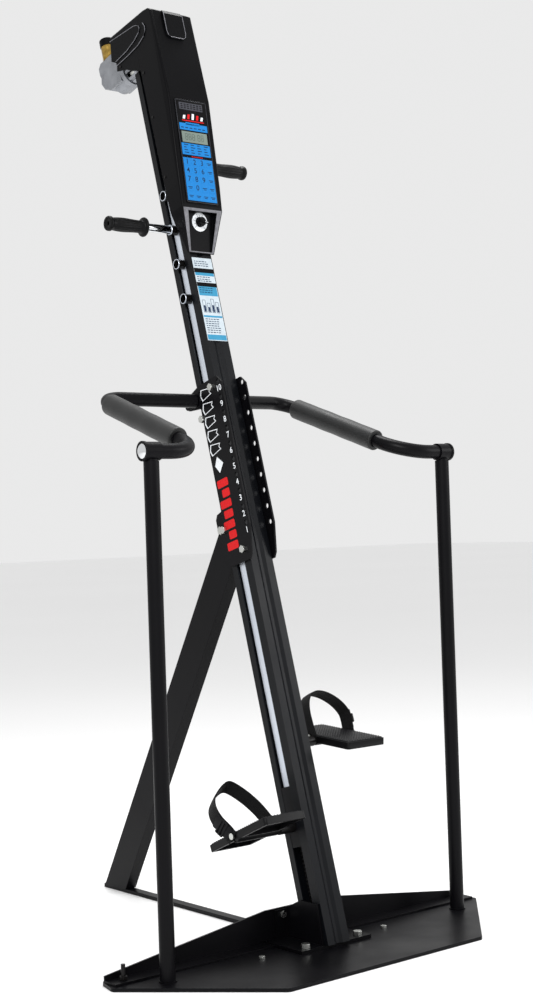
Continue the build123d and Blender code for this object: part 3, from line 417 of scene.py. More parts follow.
def finish_mesh(bm: bmesh.types.BMesh, name: str, place: Matrix, smooth: float = 35.0) -> bpy.types.Mesh:
    """Close, orient, place and shade a mesh.

    Args:
        bm: the shape, freed here.
        name: the mesh's name.
        place: matrix into the row frame.
        smooth: edges sharper than this many degrees stay sharp.

    Returns:
        The mesh.
    """
    bmesh.ops.remove_doubles(bm, verts=bm.verts, dist=1e-6)
    bmesh.ops.transform(bm, matrix=place, verts=bm.verts)
    bmesh.ops.recalc_face_normals(bm, faces=bm.faces)
    mesh = bpy.data.meshes.new(name)
    limit = math.radians(smooth)
    for face in bm.faces:
        face.smooth = True
    for edge in bm.edges:
        edge.smooth = edge.calc_face_angle(0.0) < limit
    bm.to_mesh(mesh)
    bm.free()
    return mesh


def join(parts: list[bmesh.types.BMesh]) -> bmesh.types.BMesh:
    """Gather several shapes in one mesh.

    Args:
        parts: the shapes, freed here.

    Returns:
        One mesh that holds them all.
    """
    whole = bmesh.new()
    for part in parts:
        scratch = bpy.data.meshes.new("scratch")
        part.to_mesh(scratch)
        part.free()
        whole.from_mesh(scratch)
        bpy.data.meshes.remove(scratch)
    return whole


def slab(outline: list[tuple[float, float]], low: float, high: float, bevel: float = 0.0,
         segments: int = 2) -> bmesh.types.BMesh:
    """Plate with a given outline, in millimetres, with rounded upper edges.

    Args:
        outline: corners in x and y.
        low: lower z.
        high: upper z.
        bevel: radius of the edges, or 0.
        segments: steps of the rounding.

    Returns:
        The plate, in metres.
    """
    bm = bmesh.new()
    bottom = [bm.verts.new((x * MM, y * MM, low * MM)) for x, y in outline]
    top = [bm.verts.new((x * MM, y * MM, high * MM)) for x, y in outline]
    bm.faces.new(bottom[::-1])
    upper = bm.faces.new(top)
    count = len(outline)
    for i in range(count):
        bm.faces.new((bottom[i], bottom[(i + 1) % count], top[(i + 1) % count], top[i]))
    if bevel:
        bmesh.ops.bevel(bm, geom=list(upper.edges), offset=bevel * MM, segments=segments, affect="EDGES",
                        profile=0.5)
    return bm


def rounded(x0: float, x1: float, y0: float, y1: float, radius: float,
            steps: int = 5) -> list[tuple[float, float]]:
    """Rectangle with round corners.

    Args:
        x0: left side.
        x1: right side.
        y0: lower side.
        y1: upper side.
        radius: corner radius.
        steps: points on each corner.

    Returns:
        The outline, anticlockwise.
    """
    points = []
    corners = ((x1 - radius, y0 + radius, -90), (x1 - radius, y1 - radius, 0), (x0 + radius, y1 - radius, 90),
               (x0 + radius, y0 + radius, 180))
    for cx, cy, start in corners:
        for i in range(steps + 1):
            a = math.radians(start + 90 * i / steps)
            points.append((cx + radius * math.cos(a), cy + radius * math.sin(a)))
    return points


def lathe(profile: list[tuple[float, float]], segments: int = 48, lobes: int = 0, depth: float = 0.0,
          ridged: tuple[float, float] = (0.0, 0.0)) -> bmesh.types.BMesh:
    """Turn a closed profile round the local Z axis, in millimetres.

    Args:
        profile: radius and height pairs; it closes on itself.
        segments: steps round the axis.
        lobes: how many flutes go round between the two heights of ridged.
        depth: how deep a flute is.
        ridged: lowest and highest height that is fluted.

    Returns:
        The turned shape, in metres.
    """
    bm = bmesh.new()
    rings = []
    for i in range(segments):
        a = 2 * math.pi * i / segments
        loop = []
        for r, z in profile:
            wave = depth * (0.5 - 0.5 * math.cos(lobes * a)) if ridged[0] <= z <= ridged[1] and lobes else 0.0
            loop.append(bm.verts.new(((r - wave) * math.cos(a) * MM, (r - wave) * math.sin(a) * MM, z * MM)))
        rings.append(loop)
    count = len(profile)
    for i in range(segments):
        here, after = rings[i], rings[(i + 1) % segments]
        for j in range(count):
            k = (j + 1) % count
            quad = (here[j], after[j], after[k], here[k])
            if (quad[0].co - quad[1].co).length < 1e-9 and (quad[2].co - quad[3].co).length < 1e-9:
                continue
            bm.faces.new(quad)
    return bm


EM_PER_FIGURE = 1.35         # size of the type over the height of its figures


def text_shape(words: str, size: float, x: float, y: float, z: float, thick: float = 0.12,
               weight: float = 0.0) -> bmesh.types.BMesh:
    """Raised figures in the local XY plane, in millimetres.

    Args:
        words: the figures.
        size: their height.
        x: middle of the figures.
        y: middle of the figures.
        z: the surface they stand on.
        thick: how far they stand out.
        weight: how much bolder than the plain face, in millimetres.

    Returns:
        The figures, in metres.
    """
    curve = bpy.data.curves.new("figures", "FONT")
    curve.body = words
    curve.size = size * MM * EM_PER_FIGURE
    curve.align_x, curve.align_y = "CENTER", "CENTER"
    curve.extrude = thick / 2 * MM
    curve.offset = weight * MM
    curve.resolution_u = 5
    obj = bpy.data.objects.new("figures", curve)
    bpy.context.scene.collection.objects.link(obj)
    mesh = bpy.data.meshes.new_from_object(obj.evaluated_get(bpy.context.evaluated_depsgraph_get()))
    bm = bmesh.new()
    bm.from_mesh(mesh)
    bmesh.ops.translate(bm, verts=bm.verts, vec=(x * MM, y * MM, (z + thick / 2) * MM))
    bpy.data.objects.remove(obj)
    bpy.data.meshes.remove(mesh)
    bpy.data.curves.remove(curve)
    return bm


def shell(parts: list[bmesh.types.BMesh], name: str, place: Matrix, finish: Finish | Webbing, body: str,
          smooth: float = 35.0) -> bpy.types.Object:
    """Join shapes into one placed piece.

    Args:
        parts: the shapes.
        name: the piece's name.
        place: matrix into the row frame.
        finish: its finish.
        body: the body it rides on.
        smooth: edges sharper than this stay sharp.

    Returns:
        The piece.
    """
    return piece(name, finish_mesh(join(parts), name, place, smooth), finish, body)


# ------------------------------------------------------------------ geometry nodes
class Repeater:
    """Geometry Nodes tree that sets copies of a piece on the points of a curve."""

    def __init__(self) -> None:
        """Build the tree once, with named inputs."""
        tree = bpy.data.node_groups.new("copies_along_a_path", "GeometryNodeTree")
        face = tree.interface
        face.new_socket("Path", in_out="INPUT", socket_type="NodeSocketGeometry")
        for label, kind in (("Copies", "NodeSocketInt"), ("Piece", "NodeSocketObject"),
                            ("Finish", "NodeSocketMaterial")):
            face.new_socket(label, in_out="INPUT", socket_type=kind)
        face.new_socket("Result", in_out="OUTPUT", socket_type="NodeSocketGeometry")
        entry = add_node(tree, "NodeGroupInput")
        points = add_node(tree, "GeometryNodeCurveToPoints", {"mode": "COUNT"}, Curve=entry.outputs["Path"],
                          Count=entry.outputs["Copies"])
        part = add_node(tree, "GeometryNodeObjectInfo", Object=entry.outputs["Piece"])
        copies = add_node(tree, "GeometryNodeInstanceOnPoints", Points=points.outputs["Points"],
                          Instance=part.outputs["Geometry"], Rotation=points.outputs["Rotation"])
        real = add_node(tree, "GeometryNodeRealizeInstances", Geometry=copies.outputs[0])
        dressed = add_node(tree, "GeometryNodeSetMaterial", Geometry=real.outputs[0],
                           Material=entry.outputs["Finish"])
        add_node(tree, "NodeGroupOutput", Result=dressed.outputs[0])
        self.tree = tree

    def along(self, path: list[Vector], closed: bool, copies: int, part: bpy.types.Mesh, finish: Finish,
              name: str) -> bpy.types.Mesh:
        """Set copies of a part along a path.

        Args:
            path: points in the row frame.
            closed: whether the path is a loop.
            copies: how many parts.
            part: mesh of one part, its +Z along the path.
            finish: the finish of the copies.
            name: the name of the result.

        Returns:
            One plain mesh.
        """
        curve = bpy.data.curves.new(name + "_path", "CURVE")
        curve.dimensions = "3D"
        curve.twist_mode = "MINIMUM"
        line = curve.splines.new("POLY")
        line.points.add(len(path) - 1)
        for point, co in zip(line.points, path):
            point.co = (*co, 1.0)
        line.use_cyclic_u = closed
        holder = bpy.data.objects.new(name + "_holder", curve)
        source = bpy.data.objects.new(name + "_part", part)
        for obj in (holder, source):
            bpy.context.scene.collection.objects.link(obj)
        modifier = holder.modifiers.new("copies", "NODES")
        modifier.node_group = self.tree
        wanted = {"Copies": copies, "Piece": source, "Finish": finish.material()}
        for item in self.tree.interface.items_tree:
            if item.name in wanted:
                modifier[item.identifier] = wanted[item.name]
        bpy.context.view_layer.update()
        graph = bpy.context.evaluated_depsgraph_get()
        mesh = bpy.data.meshes.new_from_object(holder.evaluated_get(graph))
        holder.modifiers.remove(modifier)
        for obj in (holder, source):
            bpy.data.objects.remove(obj)
        return mesh


# ------------------------------------------------------------------ sub-assemblies
@dataclass
class FoamSleeves:
    """Foam sleeves on the two rails, slightly crowned, with rolled ends."""

    radius: float = 26.3
    bore: float = 17.6
    roll: float = 3.0
    wave: float = 0.35           # height of the slow ripples along a sleeve
    ripples: float = 23.0        # radians of ripple over the whole length
    steps: int = 40
    end_depth: float = 34.0      # how far from its end a sleeve's vertices still count as that end

    def build(self) -> None:
        """Make both sleeves as one padded piece for the CAD pair."""
        parts = []
        verts = [v.co for v in frame["nodes"]["foam_sleeves"].data.vertices]
        for side in SIDES:
            own = [p for p in verts if p.x * side > 0]
            front = min(own, key=lambda p: p.y)
            rear = max(own, key=lambda p: p.y)
            near = self.end_middle(own, front.y, True)
            far = self.end_middle(own, rear.y, False)
            parts.append(self.sleeve(near, far))
        obj = shell(parts, "foam_grip_sleeves", ROW, FOAM, "frame")
        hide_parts("foam_sleeves")

    def end_middle(self, own: list[Vector], reach: float, front: bool) -> Vector:
        """Middle of one end of a CAD sleeve.

        Args:
            own: the sleeve's vertices.
            reach: the end's furthest y.
            front: whether it is the end near the user.

        Returns:
            The mean of the vertices of that end's ring.
        """
        span = self.end_depth * MM
        ring = [p for p in own if (p.y - reach < span if front else reach - p.y < span)]
        low = Vector((min(p.x for p in ring), min(p.y for p in ring), min(p.z for p in ring)))
        high = Vector((max(p.x for p in ring), max(p.y for p in ring), max(p.z for p in ring)))
        return (low + high) / 2

    def sleeve(self, near: Vector, far: Vector) -> bmesh.types.BMesh:
        """One sleeve between two end middles.

        Args:
            near: middle of the end near the user.
            far: middle of the other end.

        Returns:
            The sleeve in the row frame.
        """
        length = (far - near).length / MM
        profile = [(self.bore, 0.0), (self.radius - self.roll, 0.0)]
        for i in range(1, 5):
            a = math.radians(90 * i / 4)
            profile.append((self.radius - self.roll + self.roll * math.sin(a),
                            self.roll - self.roll * math.cos(a)))
        for i in range(1, self.steps):
            t = i / self.steps
            crown = self.wave * math.sin(t * self.ripples) * math.sin(math.pi * t)
            profile.append((self.radius + crown, self.roll + (length - 2 * self.roll) * t))
        for i in range(5):
            a = math.radians(90 * i / 4)
            profile.append((self.radius - self.roll + self.roll * math.cos(a),
                            length - self.roll + self.roll * math.sin(a)))
        profile.append((self.bore, length))
        bm = lathe(profile, 40)
        turn = (far - near).to_track_quat("Z", "Y").to_matrix().to_4x4()
        bmesh.ops.transform(bm, matrix=Matrix.Translation(near) @ turn, verts=bm.verts)
        return bm


@dataclass
class Straps:
    """Webbing loop of each pedal with its ladder buckle."""

    middle: float = 146.5
    width: float = 40.0
    thick: float = 2.2
    lean: float = 26.0
    base_y: float = 6.5
    buckle_height: float = 40.0
    cup: float = 0.9             # how far the middle of the webbing bows out
    steps: int = 6               # points between two knots
    left_knots: tuple = ((61.5, 2), (65, 24), (72, 52), (71, 80), (61, 104), (41, 125), (14, 143), (-9, 151),
                         (-24, 140), (-42, 110), (-55, 74), (-61, 36), (-61.5, 2))
    right_knots: tuple = ((61.5, 2), (62, 20), (65, 42), (64, 60), (52, 80), (34, 97), (10, 111), (-14, 117),
                          (-34, 113), (-50, 97), (-59, 70), (-61.5, 36), (-61.5, 2))

    def route(self, side: int) -> list[tuple[float, float]]:
        """Centre line of a loop, outward and up, from the outer edge to the inner one.

        Args:
            side: -1 left, 1 right.

        Returns:
            Points on a smooth curve through the loop's knots.
        """
        knots = self.left_knots if side < 0 else self.right_knots
        points = []
        for i in range(len(knots) - 1):
            a, b = knots[i], knots[i + 1]
            before = knots[i - 1] if i else (2 * a[0] - b[0], 2 * a[1] - b[1])
            after = knots[i + 2] if i + 2 < len(knots) else (2 * b[0] - a[0], 2 * b[1] - a[1])
            for step in range(self.steps):
                t = step / self.steps
                points.append(tuple(self.spline(before[k], a[k], b[k], after[k], t) for k in (0, 1)))
        points.append(knots[-1])
        return points

    @staticmethod
    def spline(p: float, q: float, r: float, s: float, t: float) -> float:
        """Catmull-Rom value between q and r."""
        square = (2 * p - 5 * q + 4 * r - s) * t ** 2
        cube = (3 * q - p - 3 * r + s) * t ** 3
        return 0.5 * (2 * q + (r - p) * t + square + cube)

    def place(self, side: int) -> Matrix:
        """Matrix from strap coordinates, leaning back from the tread, to the row frame."""
        lift = Matrix.Translation(Vector((side * self.middle, self.base_y, 0)) * MM)
        return pedal_frame(side) @ lift @ Matrix.Rotation(math.radians(-self.lean), 4, "X")

    def ribbon(self, side: int) -> tuple[bpy.types.Mesh, float]:
        """The webbing of one pedal.

        Args:
            side: -1 left, 1 right.

        Returns:
            The mesh with its cloth UV map, and its length in metres.
        """
        route = [Vector((side * x, 0, z)) * MM for x, z in self.route(side)]
        bm = bmesh.new()
        layer = bm.loops.layers.uv.new("cloth")
        across = 9
        rows, along = [], 0.0
        for i, point in enumerate(route):
            ahead = route[min(i + 1, len(route) - 1)] - route[max(i - 1, 0)]
            normal = Vector((ahead.z, 0, -ahead.x)).normalized()
            along += (point - route[i - 1]).length if i else 0.0
            row = []
            for j in range(across):
                s = j / (across - 1) - 0.5
                cup = self.cup * MM * (1 - 4 * s * s) * math.sin(math.pi * i / (len(route) - 1))
                base = point + normal * cup * side + Vector((0, s * self.width * MM, 0))
                row.append((base, normal * self.thick / 2 * MM, s * self.width * MM, along))
            rows.append(row)
        upper = [[bm.verts.new(b + n) for b, n, _, _ in row] for row in rows]
        lower = [[bm.verts.new(b - n) for b, n, _, _ in row] for row in rows]
        place = {}
        for grid in (upper, lower):
            for i, row in enumerate(grid):
                for j, vert in enumerate(row):
                    place[vert] = (rows[i][j][2] + self.width * MM, rows[i][j][3])
        last = len(rows) - 1
        for i in range(last):
            for j in range(across - 1):
                bm.faces.new((upper[i][j], upper[i][j + 1], upper[i + 1][j + 1], upper[i + 1][j]))
                bm.faces.new((lower[i][j], lower[i + 1][j], lower[i + 1][j + 1], lower[i][j + 1]))
            for j in (0, across - 1):
                bm.faces.new((upper[i][j], upper[i + 1][j], lower[i + 1][j], lower[i][j]))
        for i in (0, last):
            for j in range(across - 1):
                bm.faces.new((upper[i][j], upper[i][j + 1], lower[i][j + 1], lower[i][j]))
        for face in bm.faces:
            for loop in face.loops:
                loop[layer].uv = place[loop.vert]
        return finish_mesh(bm, f"strap_{SIDE_NAMES[side]}", self.place(side), 50), along

    def buckle(self, side: int) -> list[bmesh.types.BMesh]:
        """Ladder buckle on the outer leg: a frame with a middle bar, and the webbing's loose end.

        Args:
            side: -1 left, 1 right.

        Returns:
            Shapes in strap coordinates.
        """
        shapes = []
        half = self.width / 2 + 2.0
        route = self.route(side)
        near = min(range(1, 20), key=lambda k: abs(route[k][1] - self.buckle_height))
        here, ahead = (Vector((x, 0, z)) for x, z in route[near:near + 2])
        up = (ahead - here).normalized()
        up.x *= side
        here.x *= side
        out = Vector((0, 1, 0)).cross(up) * side
        turn = basis((here + out * (self.thick / 2 + 0.3)) * MM, Vector((0, 1, 0)), up, out)
        for y0, y1, z0, z1, thick in ((-half, half, -11, -7, 4.5), (-half, half, -2, 2, 5.5),
                                      (-half, half, 7, 11, 4.5), (-half, 3 - half, -10, 10, 5),
                                      (half - 3, half, -10, 10, 5)):
            shapes.append(slab(rounded(y0, y1, z0, z1, 1.2), 0, thick, 1.0))
        shapes.append(slab(rounded(4 - half, half - 4, -26, 24, 3), 0, self.thick, 0.8))
        for shape in shapes:
            bmesh.ops.transform(shape, matrix=turn, verts=shape.verts)
        return shapes

    def build(self) -> None:
        """Make both straps and their buckles."""
        for side in SIDES:
            name = SIDE_NAMES[side]
            mesh, length = self.ribbon(side)
            strap = piece(f"foot_strap_{name}", mesh, WEBBING, f"pedal_{name}")
            buckle = shell(self.buckle(side), f"strap_buckle_{name}", self.place(side), ACETAL,
                           f"pedal_{name}")
            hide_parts(f"pedal_strap_{name}")


@dataclass
class Treads:
    """Rubber tread of each pedal: a mat with ribs that run across it at a slant."""

    inner: float = 90.5
    outer: float = 202.5
    heel: float = -118.5
    toe: float = 104.5
    low: float = 12.0
    mat: float = 14.0
    top: float = 16.0
    pitch: float = 6.0
    slant: float = 45.0

    def build(self) -> None:
        """Make both treads."""
        for side in SIDES:
            name = SIDE_NAMES[side]
            x0, x1 = sorted((side * self.inner, side * self.outer))
            mat = slab(rounded(x0, x1, self.heel, self.toe, 5), self.low, self.mat, 0.6)
            ribs = [self.rib(a, b) for a, b in self.lines(x0 + 3, x1 - 3)]
            obj = shell([mat] + ribs, f"ribbed_tread_{name}", pedal_frame(side), TREAD, f"pedal_{name}")
            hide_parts(f"pedal_tread_{name}")

    def lines(self, x0: float, x1: float) -> list[tuple[Vector, Vector]]:
        """Ends of the slanted ribs, clipped to the mat.

        Args:
            x0: left limit.
            x1: right limit.

        Returns:
            Pairs of end points, in millimetres.
        """
        slope = math.tan(math.radians(self.slant))
        y0, y1 = self.heel + 3, self.toe - 3
        step = self.pitch / math.cos(math.radians(self.slant))
        found = []
        offset = y0 - slope * (x1 - x0)
        while offset < y1:
            ends = [min(max(offset + slope * (x - x0), y0), y1) for x in (x0, x1)]
            a, b = ((x0 + (y - offset) / slope, y) for y in ends)
            if b[0] - a[0] > 4:
                found.append((Vector((*a, 0)), Vector((*b, 0))))
            offset += step
        return found

    def rib(self, start: Vector, end: Vector) -> bmesh.types.BMesh:
        """One rib with sloped flanks.

        Args:
            start: one end.
            end: the other end.

        Returns:
            The rib, in pedal coordinates.
        """
        along = (end - start).normalized()
        out = Vector((-along.y, along.x, 0))
        bm = bmesh.new()
        loops = []
        for point, pull in ((start, 1), (end, -1)):
            loop = []
            for reach, height, inset in ((-1.6, self.mat - 0.2, 0), (-0.9, self.top, 1), (0.9, self.top, 1),
                                         (1.6, self.mat - 0.2, 0)):
                co = point + out * reach + along * inset * pull
                loop.append(bm.verts.new((co.x * MM, co.y * MM, height * MM)))
            loops.append(loop)
        first, last = loops
        for i in range(4):
            k = (i + 1) % 4
            bm.faces.new((first[i], first[k], last[k], last[i]))
        bm.faces.new(first[::-1])
        bm.faces.new(last)
        return bm


@dataclass
class Grips:
    """Moulded rubber hand grips: fluted barrel, inner flange, rolled end."""

    start: float = 128.0
    flutes: int = 22
    flute_depth: float = 0.7
    fluted: tuple = (12, 97)
    segments: int = 132
    profile: tuple = ((11.1, 0), (23, 0), (24.4, 0.8), (25, 2.6), (24.4, 4.6), (22.8, 6), (18.4, 7.2),
                      (16.6, 9.7), (16.1, 16.7), (16.2, 29.7), (16.9, 42.7), (17.7, 55.7), (18.1, 66.6),
                      (17.7, 79.6), (16.9, 90.4), (16.0, 98), (16.6, 101), (18.6, 103), (19, 106),
                      (18.8, 109.4), (17.6, 111.6), (13, 112), (12.2, 110.5), (6, 110.2), (5, 109),
                      (5, 102.2), (11.1, 102.2))

    def build(self) -> None:
        """Make both grips."""
        for side in SIDES:
            name = SIDE_NAMES[side]
            low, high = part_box(f"handle_tube_{name}")
            middle = (low + high) / 2
            origin = Vector((side * self.start * MM, middle.y, middle.z))
            place = basis(origin, Vector((0, 0, side)), Vector((0, 1, 0)), Vector((side, 0, 0)))
            bm = lathe(list(self.profile), self.segments, self.flutes, self.flute_depth, self.fluted)
            mesh = finish_mesh(bm, f"grip_{name}", place, 50)
            obj = piece(f"fluted_grip_{name}", mesh, RUBBER, f"handle_{name}")
            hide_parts(f"handle_grip_{name}")


@dataclass
class Chain:
    """Roller chain over both sprockets, as links set along its loop."""

    pitch: float = 9.525
    radius: float = 16.905
    top: float = 2335.0
    low: float = 75.0
    lead: float = 12.0           # straight run beside each sprocket before the long runs
    half_width: float = 3.6
    plate: float = 1.1
    gaps: tuple = (5.2, 3.9)     # middle of the outer and inner plates from the chain's middle

    def loop(self) -> list[Vector]:
        """Points of the loop in the row frame."""
        points = []
        for centre, start, inward in ((self.top, 0, -self.lead), (self.low, 180, self.lead)):
            arc = [(math.radians(start + 180 * i / 16), 0.0) for i in range(17)]
            for a, shift in [(arc[0][0], inward), *arc, (arc[-1][0], inward)]:
                points.append(MAST @ (Vector((self.radius * math.cos(a), SLOT_MID / MM,
                                              centre + self.radius * math.sin(a) + shift)) * MM))
        return points

    def link(self) -> bpy.types.Mesh:
        """One link with its roller, pointing along Z."""
        shapes = []
        half = self.pitch / 2 - 0.05
        outline = rounded(-self.half_width, self.half_width, -half, half, 2.6, 3)
        for gap in self.gaps:
            for face in SIDES:
                plate = slab(outline, 0, self.plate)
                shift = (face * gap - self.plate / 2) * MM
                turn = Matrix(((1, 0, 0, 0), (0, 0, 1, shift), (0, 1, 0, 0), (0, 0, 0, 1)))
                bmesh.ops.transform(plate, matrix=turn, verts=plate.verts)
                shapes.append(plate)
        roller = lathe([(0.2, -3.2), (3.1, -3.2), (3.1, 3.2), (0.2, 3.2)], 10)
        bmesh.ops.transform(roller, matrix=Matrix.Rotation(math.pi / 2, 4, "X"), verts=roller.verts)
        shapes.append(roller)
        return finish_mesh(join(shapes), "chain_link", ROW)

    def build(self, repeater: Repeater) -> None:
        """Set the links round the loop.

        Args:
            repeater: sets the copies.
        """
        length = 2 * (self.top - self.low) + 2 * math.pi * self.radius
        copies = round(length / self.pitch)
        mesh = repeater.along(self.loop(), True, copies, self.link(), BLACK_OXIDE, "roller_chain")
        obj = piece("roller_chain", mesh, BLACK_OXIDE, "frame")
        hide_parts("drive_chain")


PRINT_THICK = 0.15           # a print seen from a distance, thick enough to stand clear of its surface


@dataclass
class Console:
    """Printed panel: strips, window figures, key legends and a generic badge."""

    surface: float = 2.0
    key_surface: float = 3.3
    keys: tuple = (-46.0, 46.0, 10.0, 124.0)
    legends: tuple = (("1", "2", "3", ""), ("4", "5", "6", ""), ("7", "8", "9", ""), ("", "0", "", ""),
                      ("", "", "", ""))
    parts: dict = field(default_factory=dict)
    mark: dict = field(default_factory=lambda: {"low": 2.24, "thick": 0.1, "radius": 0.4})

    def add(self, finish: Finish, shape: bmesh.types.BMesh) -> None:
        """Keep a shape to be joined with the others of its finish."""
        self.parts.setdefault(finish, []).append(shape)

    def patch(self, finish: Finish, x0: float, x1: float, y0: float, y1: float, low: float = 2.0,
              thick: float = 0.25, radius: float = 1.2) -> None:
        """A printed patch with round corners."""
        self.add(finish, slab(rounded(x0, x1, y0, y1, radius), low, low + thick))

    def border(self) -> None:
        """Thin line round the panel."""
        x, y0, y1, w = 48.4, 6.0, 279.5, 0.9
        for a, b, c, d in ((-x, x, y0, y0 + w), (-x, x, y1 - w, y1), (-x, w - x, y0, y1), (x - w, x, y0, y1)):
            self.patch(PRINT_GREY, a, b, c, d, thick=0.2, radius=0.3)

    def badge(self) -> None:
        """Plain badge of slanted bars in place of any mark."""
        for i, (x, tall) in enumerate(((-26, 10), (-12, 13), (2, 16), (16, 13), (30, 10))):
            finish = PRINT_WHITE if i % 2 == 0 else PRINT_RED
            bar = [(x - 5, 229), (x + 2, 229), (x + 5, 229 + tall), (x - 2, 229 + tall)]
            self.add(finish, slab(bar, self.surface, self.surface + 0.25))
        self.patch(PRINT_RED, -34, 36, 223.5, 226)

    def readout(self) -> None:
        """Seven-bar figures in the window."""
        z = 2.35
        for x in (-26, -15, -4, 13, 24):
            for dx, dy, wide, tall in ((0, 8, 6, 1.2), (0, 0, 6, 1.2), (0, -8, 6, 1.2), (-3.4, 4, 1.2, 6.4),
                                       (3.4, 4, 1.2, 6.4), (3.4, -4, 1.2, 6.4), (-3.4, -4, 1.2, 6.4)):
                cx, cy = x + dx, 181 + dy
                self.patch(LCD_INK, cx - wide / 2, cx + wide / 2, cy - tall / 2, cy + tall / 2, z, 0.08, 0.4)

    def blocks(self) -> None:
        """Grey strip, blue strips and their rows of marks."""
        self.patch(PRINT_GREY, -38, 36, 254, 273)
        for row in range(3):
            for i in range(7):
                x = -33 + i * 10
                self.patch(PRINT_BLACK, x, x + 6.5, 257.5 + row * 5, 260 + row * 5, **self.mark)
        self.patch(PRINT_BLUE, -44, 44, 199, 217)
        self.patch(PRINT_BLUE, -24, 20, 213, 220)
        for i in range(6):
            self.patch(INK_NAVY, -40 + i * 13.5, -31 + i * 13.5, 204, 206.5, **self.mark)
        self.patch(PRINT_BLUE, -45, 45, 132, 163)
        for row in range(4):
            for column in range(4):
                x, y = -38 + column * 21, 137 + row * 7
                self.patch(INK_NAVY, x, x + 14 - 3 * ((row + column) % 3), y, y + 2.2, **self.mark)
        self.patch(PRINT_RED, -18, 18, 127, 128.6, thick=0.2, radius=0.4)

    def key_legends(self) -> None:
        """Figures and short marks on the keys."""
        x0, x1, y0, y1 = self.keys
        wide, tall = (x1 - x0) / 4, (y1 - y0) / 5
        for row, figures in enumerate(self.legends):
            for column, figure in enumerate(figures):
                x, y = x0 + wide * (column + 0.5), y1 - tall * (row + 0.5)
                if figure:
                    self.add(INK_NAVY, text_shape(figure, 14.5, x, y, self.key_surface, weight=0.18))
                else:
                    self.patch(INK_NAVY, x - 7, x + 7, y + 0.4, y + 2.4, self.key_surface, 0.1, 0.4)
                    self.patch(INK_NAVY, x - 4.5, x + 4.5, y - 3.4, y - 1.6, self.key_surface, 0.1, 0.4)

    def build(self) -> None:
        """Make the printed layers, one piece for each ink."""
        self.border()
        self.badge()
        self.readout()
        self.blocks()
        self.key_legends()
        for finish, shapes in self.parts.items():
            shell(shapes, f"panel_{finish.name}", FACE, finish, "frame")


@dataclass
class KnobPocket:
    """Resistance knob with its ring of marks and the light edge round the pocket."""

    dial_middle: tuple = (-22.0, 1832.0)
    floor_end: tuple = (-3.0, 1758.0)
    radius: float = 13.2
    turn: float = -100.0         # where the pointer stands at rest, from straight up
    pod_foot: Vector = field(default_factory=lambda: Vector((0, -5.0, 1752.0)))
    rim_outer: tuple = ((-38.5, -119.5), (38.5, -119.5), (61.0, -8.0), (-61.0, -8.0))
    rim_inner: tuple = ((-33.6, -116.6), (33.6, -116.6), (45.6, -15.0), (-45.6, -15.0))
    flutes: int = 16
    mark_near: float = 14.0
    mark_far: float = 17.4
    mark_half: float = 0.5
    figure_at: float = 20.6

    def frame_at(self) -> Matrix:
        """Frame on the pocket floor, +Z towards the user and +Y up the floor."""
        middle = Vector((0, *self.dial_middle)) * MM
        rise = (middle - Vector((0, *self.floor_end)) * MM).normalized()
        across = Vector((1, 0, 0))
        return MAST @ basis(middle, across, rise, across.cross(rise))

    def build(self) -> None:
        """Make the knob, its marks and the pocket's edge."""
        place = self.frame_at()
        r = self.radius
        profile = [(0.1, 0.5), (r, 0.5), (r, 2), (r - 0.8, 3), (r - 1.4, 13), (r - 2.6, 14.4), (0.1, 14.6)]
        body = lathe(profile, 96, self.flutes, 0.9, (2.5, 13.5))
        blade = slab(rounded(-2.8, 2.8, -10.5, 15.5, 2.2), 11, 17.4, 1.0)
        tip = slab([(-0.7, 6), (0.7, 6), (0.7, 14.2), (-0.7, 14.2)], 17.3, 17.6)
        turn = Matrix.Rotation(math.radians(self.turn), 3, "Z")
        for shape in (blade, tip):
            bmesh.ops.rotate(shape, verts=shape.verts, matrix=turn)
        knob = shell([body, blade], "fluted_knob", place, ABS_BLACK, "knob")
        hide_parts("resistance_knob")
        shell([tip], "knob_pointer", place, PRINT_WHITE, "knob")
        marks = []
        for i in range(11):
            a = math.radians(225 - 27 * i)
            co, si = math.cos(a), math.sin(a)
            mark = [(co * reach - si * half, si * reach + co * half)
                    for reach, half in ((self.mark_near, self.mark_half), (self.mark_near, -self.mark_half),
                                        (self.mark_far, -self.mark_half), (self.mark_far, self.mark_half))]
            marks.append(slab(mark[::-1], 1.0, 1.0 + PRINT_THICK))
            if i % 2 == 0:
                marks.append(text_shape(str(i), 4.0, co * self.figure_at, si * self.figure_at, 1.0, 0.1))
        shell(marks, "dial_marks", place, PRINT_BLACK, "frame")
        self.edge()

    def edge(self) -> None:
        """Light grey band round the pocket's mouth."""
        rise = (FACE_FOOT - self.pod_foot * MM).normalized()
        across = Vector((1, 0, 0))
        place = MAST @ basis(FACE_FOOT, across, rise, across.cross(rise))
        outer, inner = self.rim_outer, self.rim_inner
        bars = []
        for i in range(4):
            k = (i + 1) % 4
            bars.append(slab([outer[i], outer[k], inner[k], inner[i]], -0.3, 0.5, 0.3))
        shell(bars, "pocket_rim", place, ABS_GREY_RIM_AND_PAINTED_HIGHLIGHT, "frame")


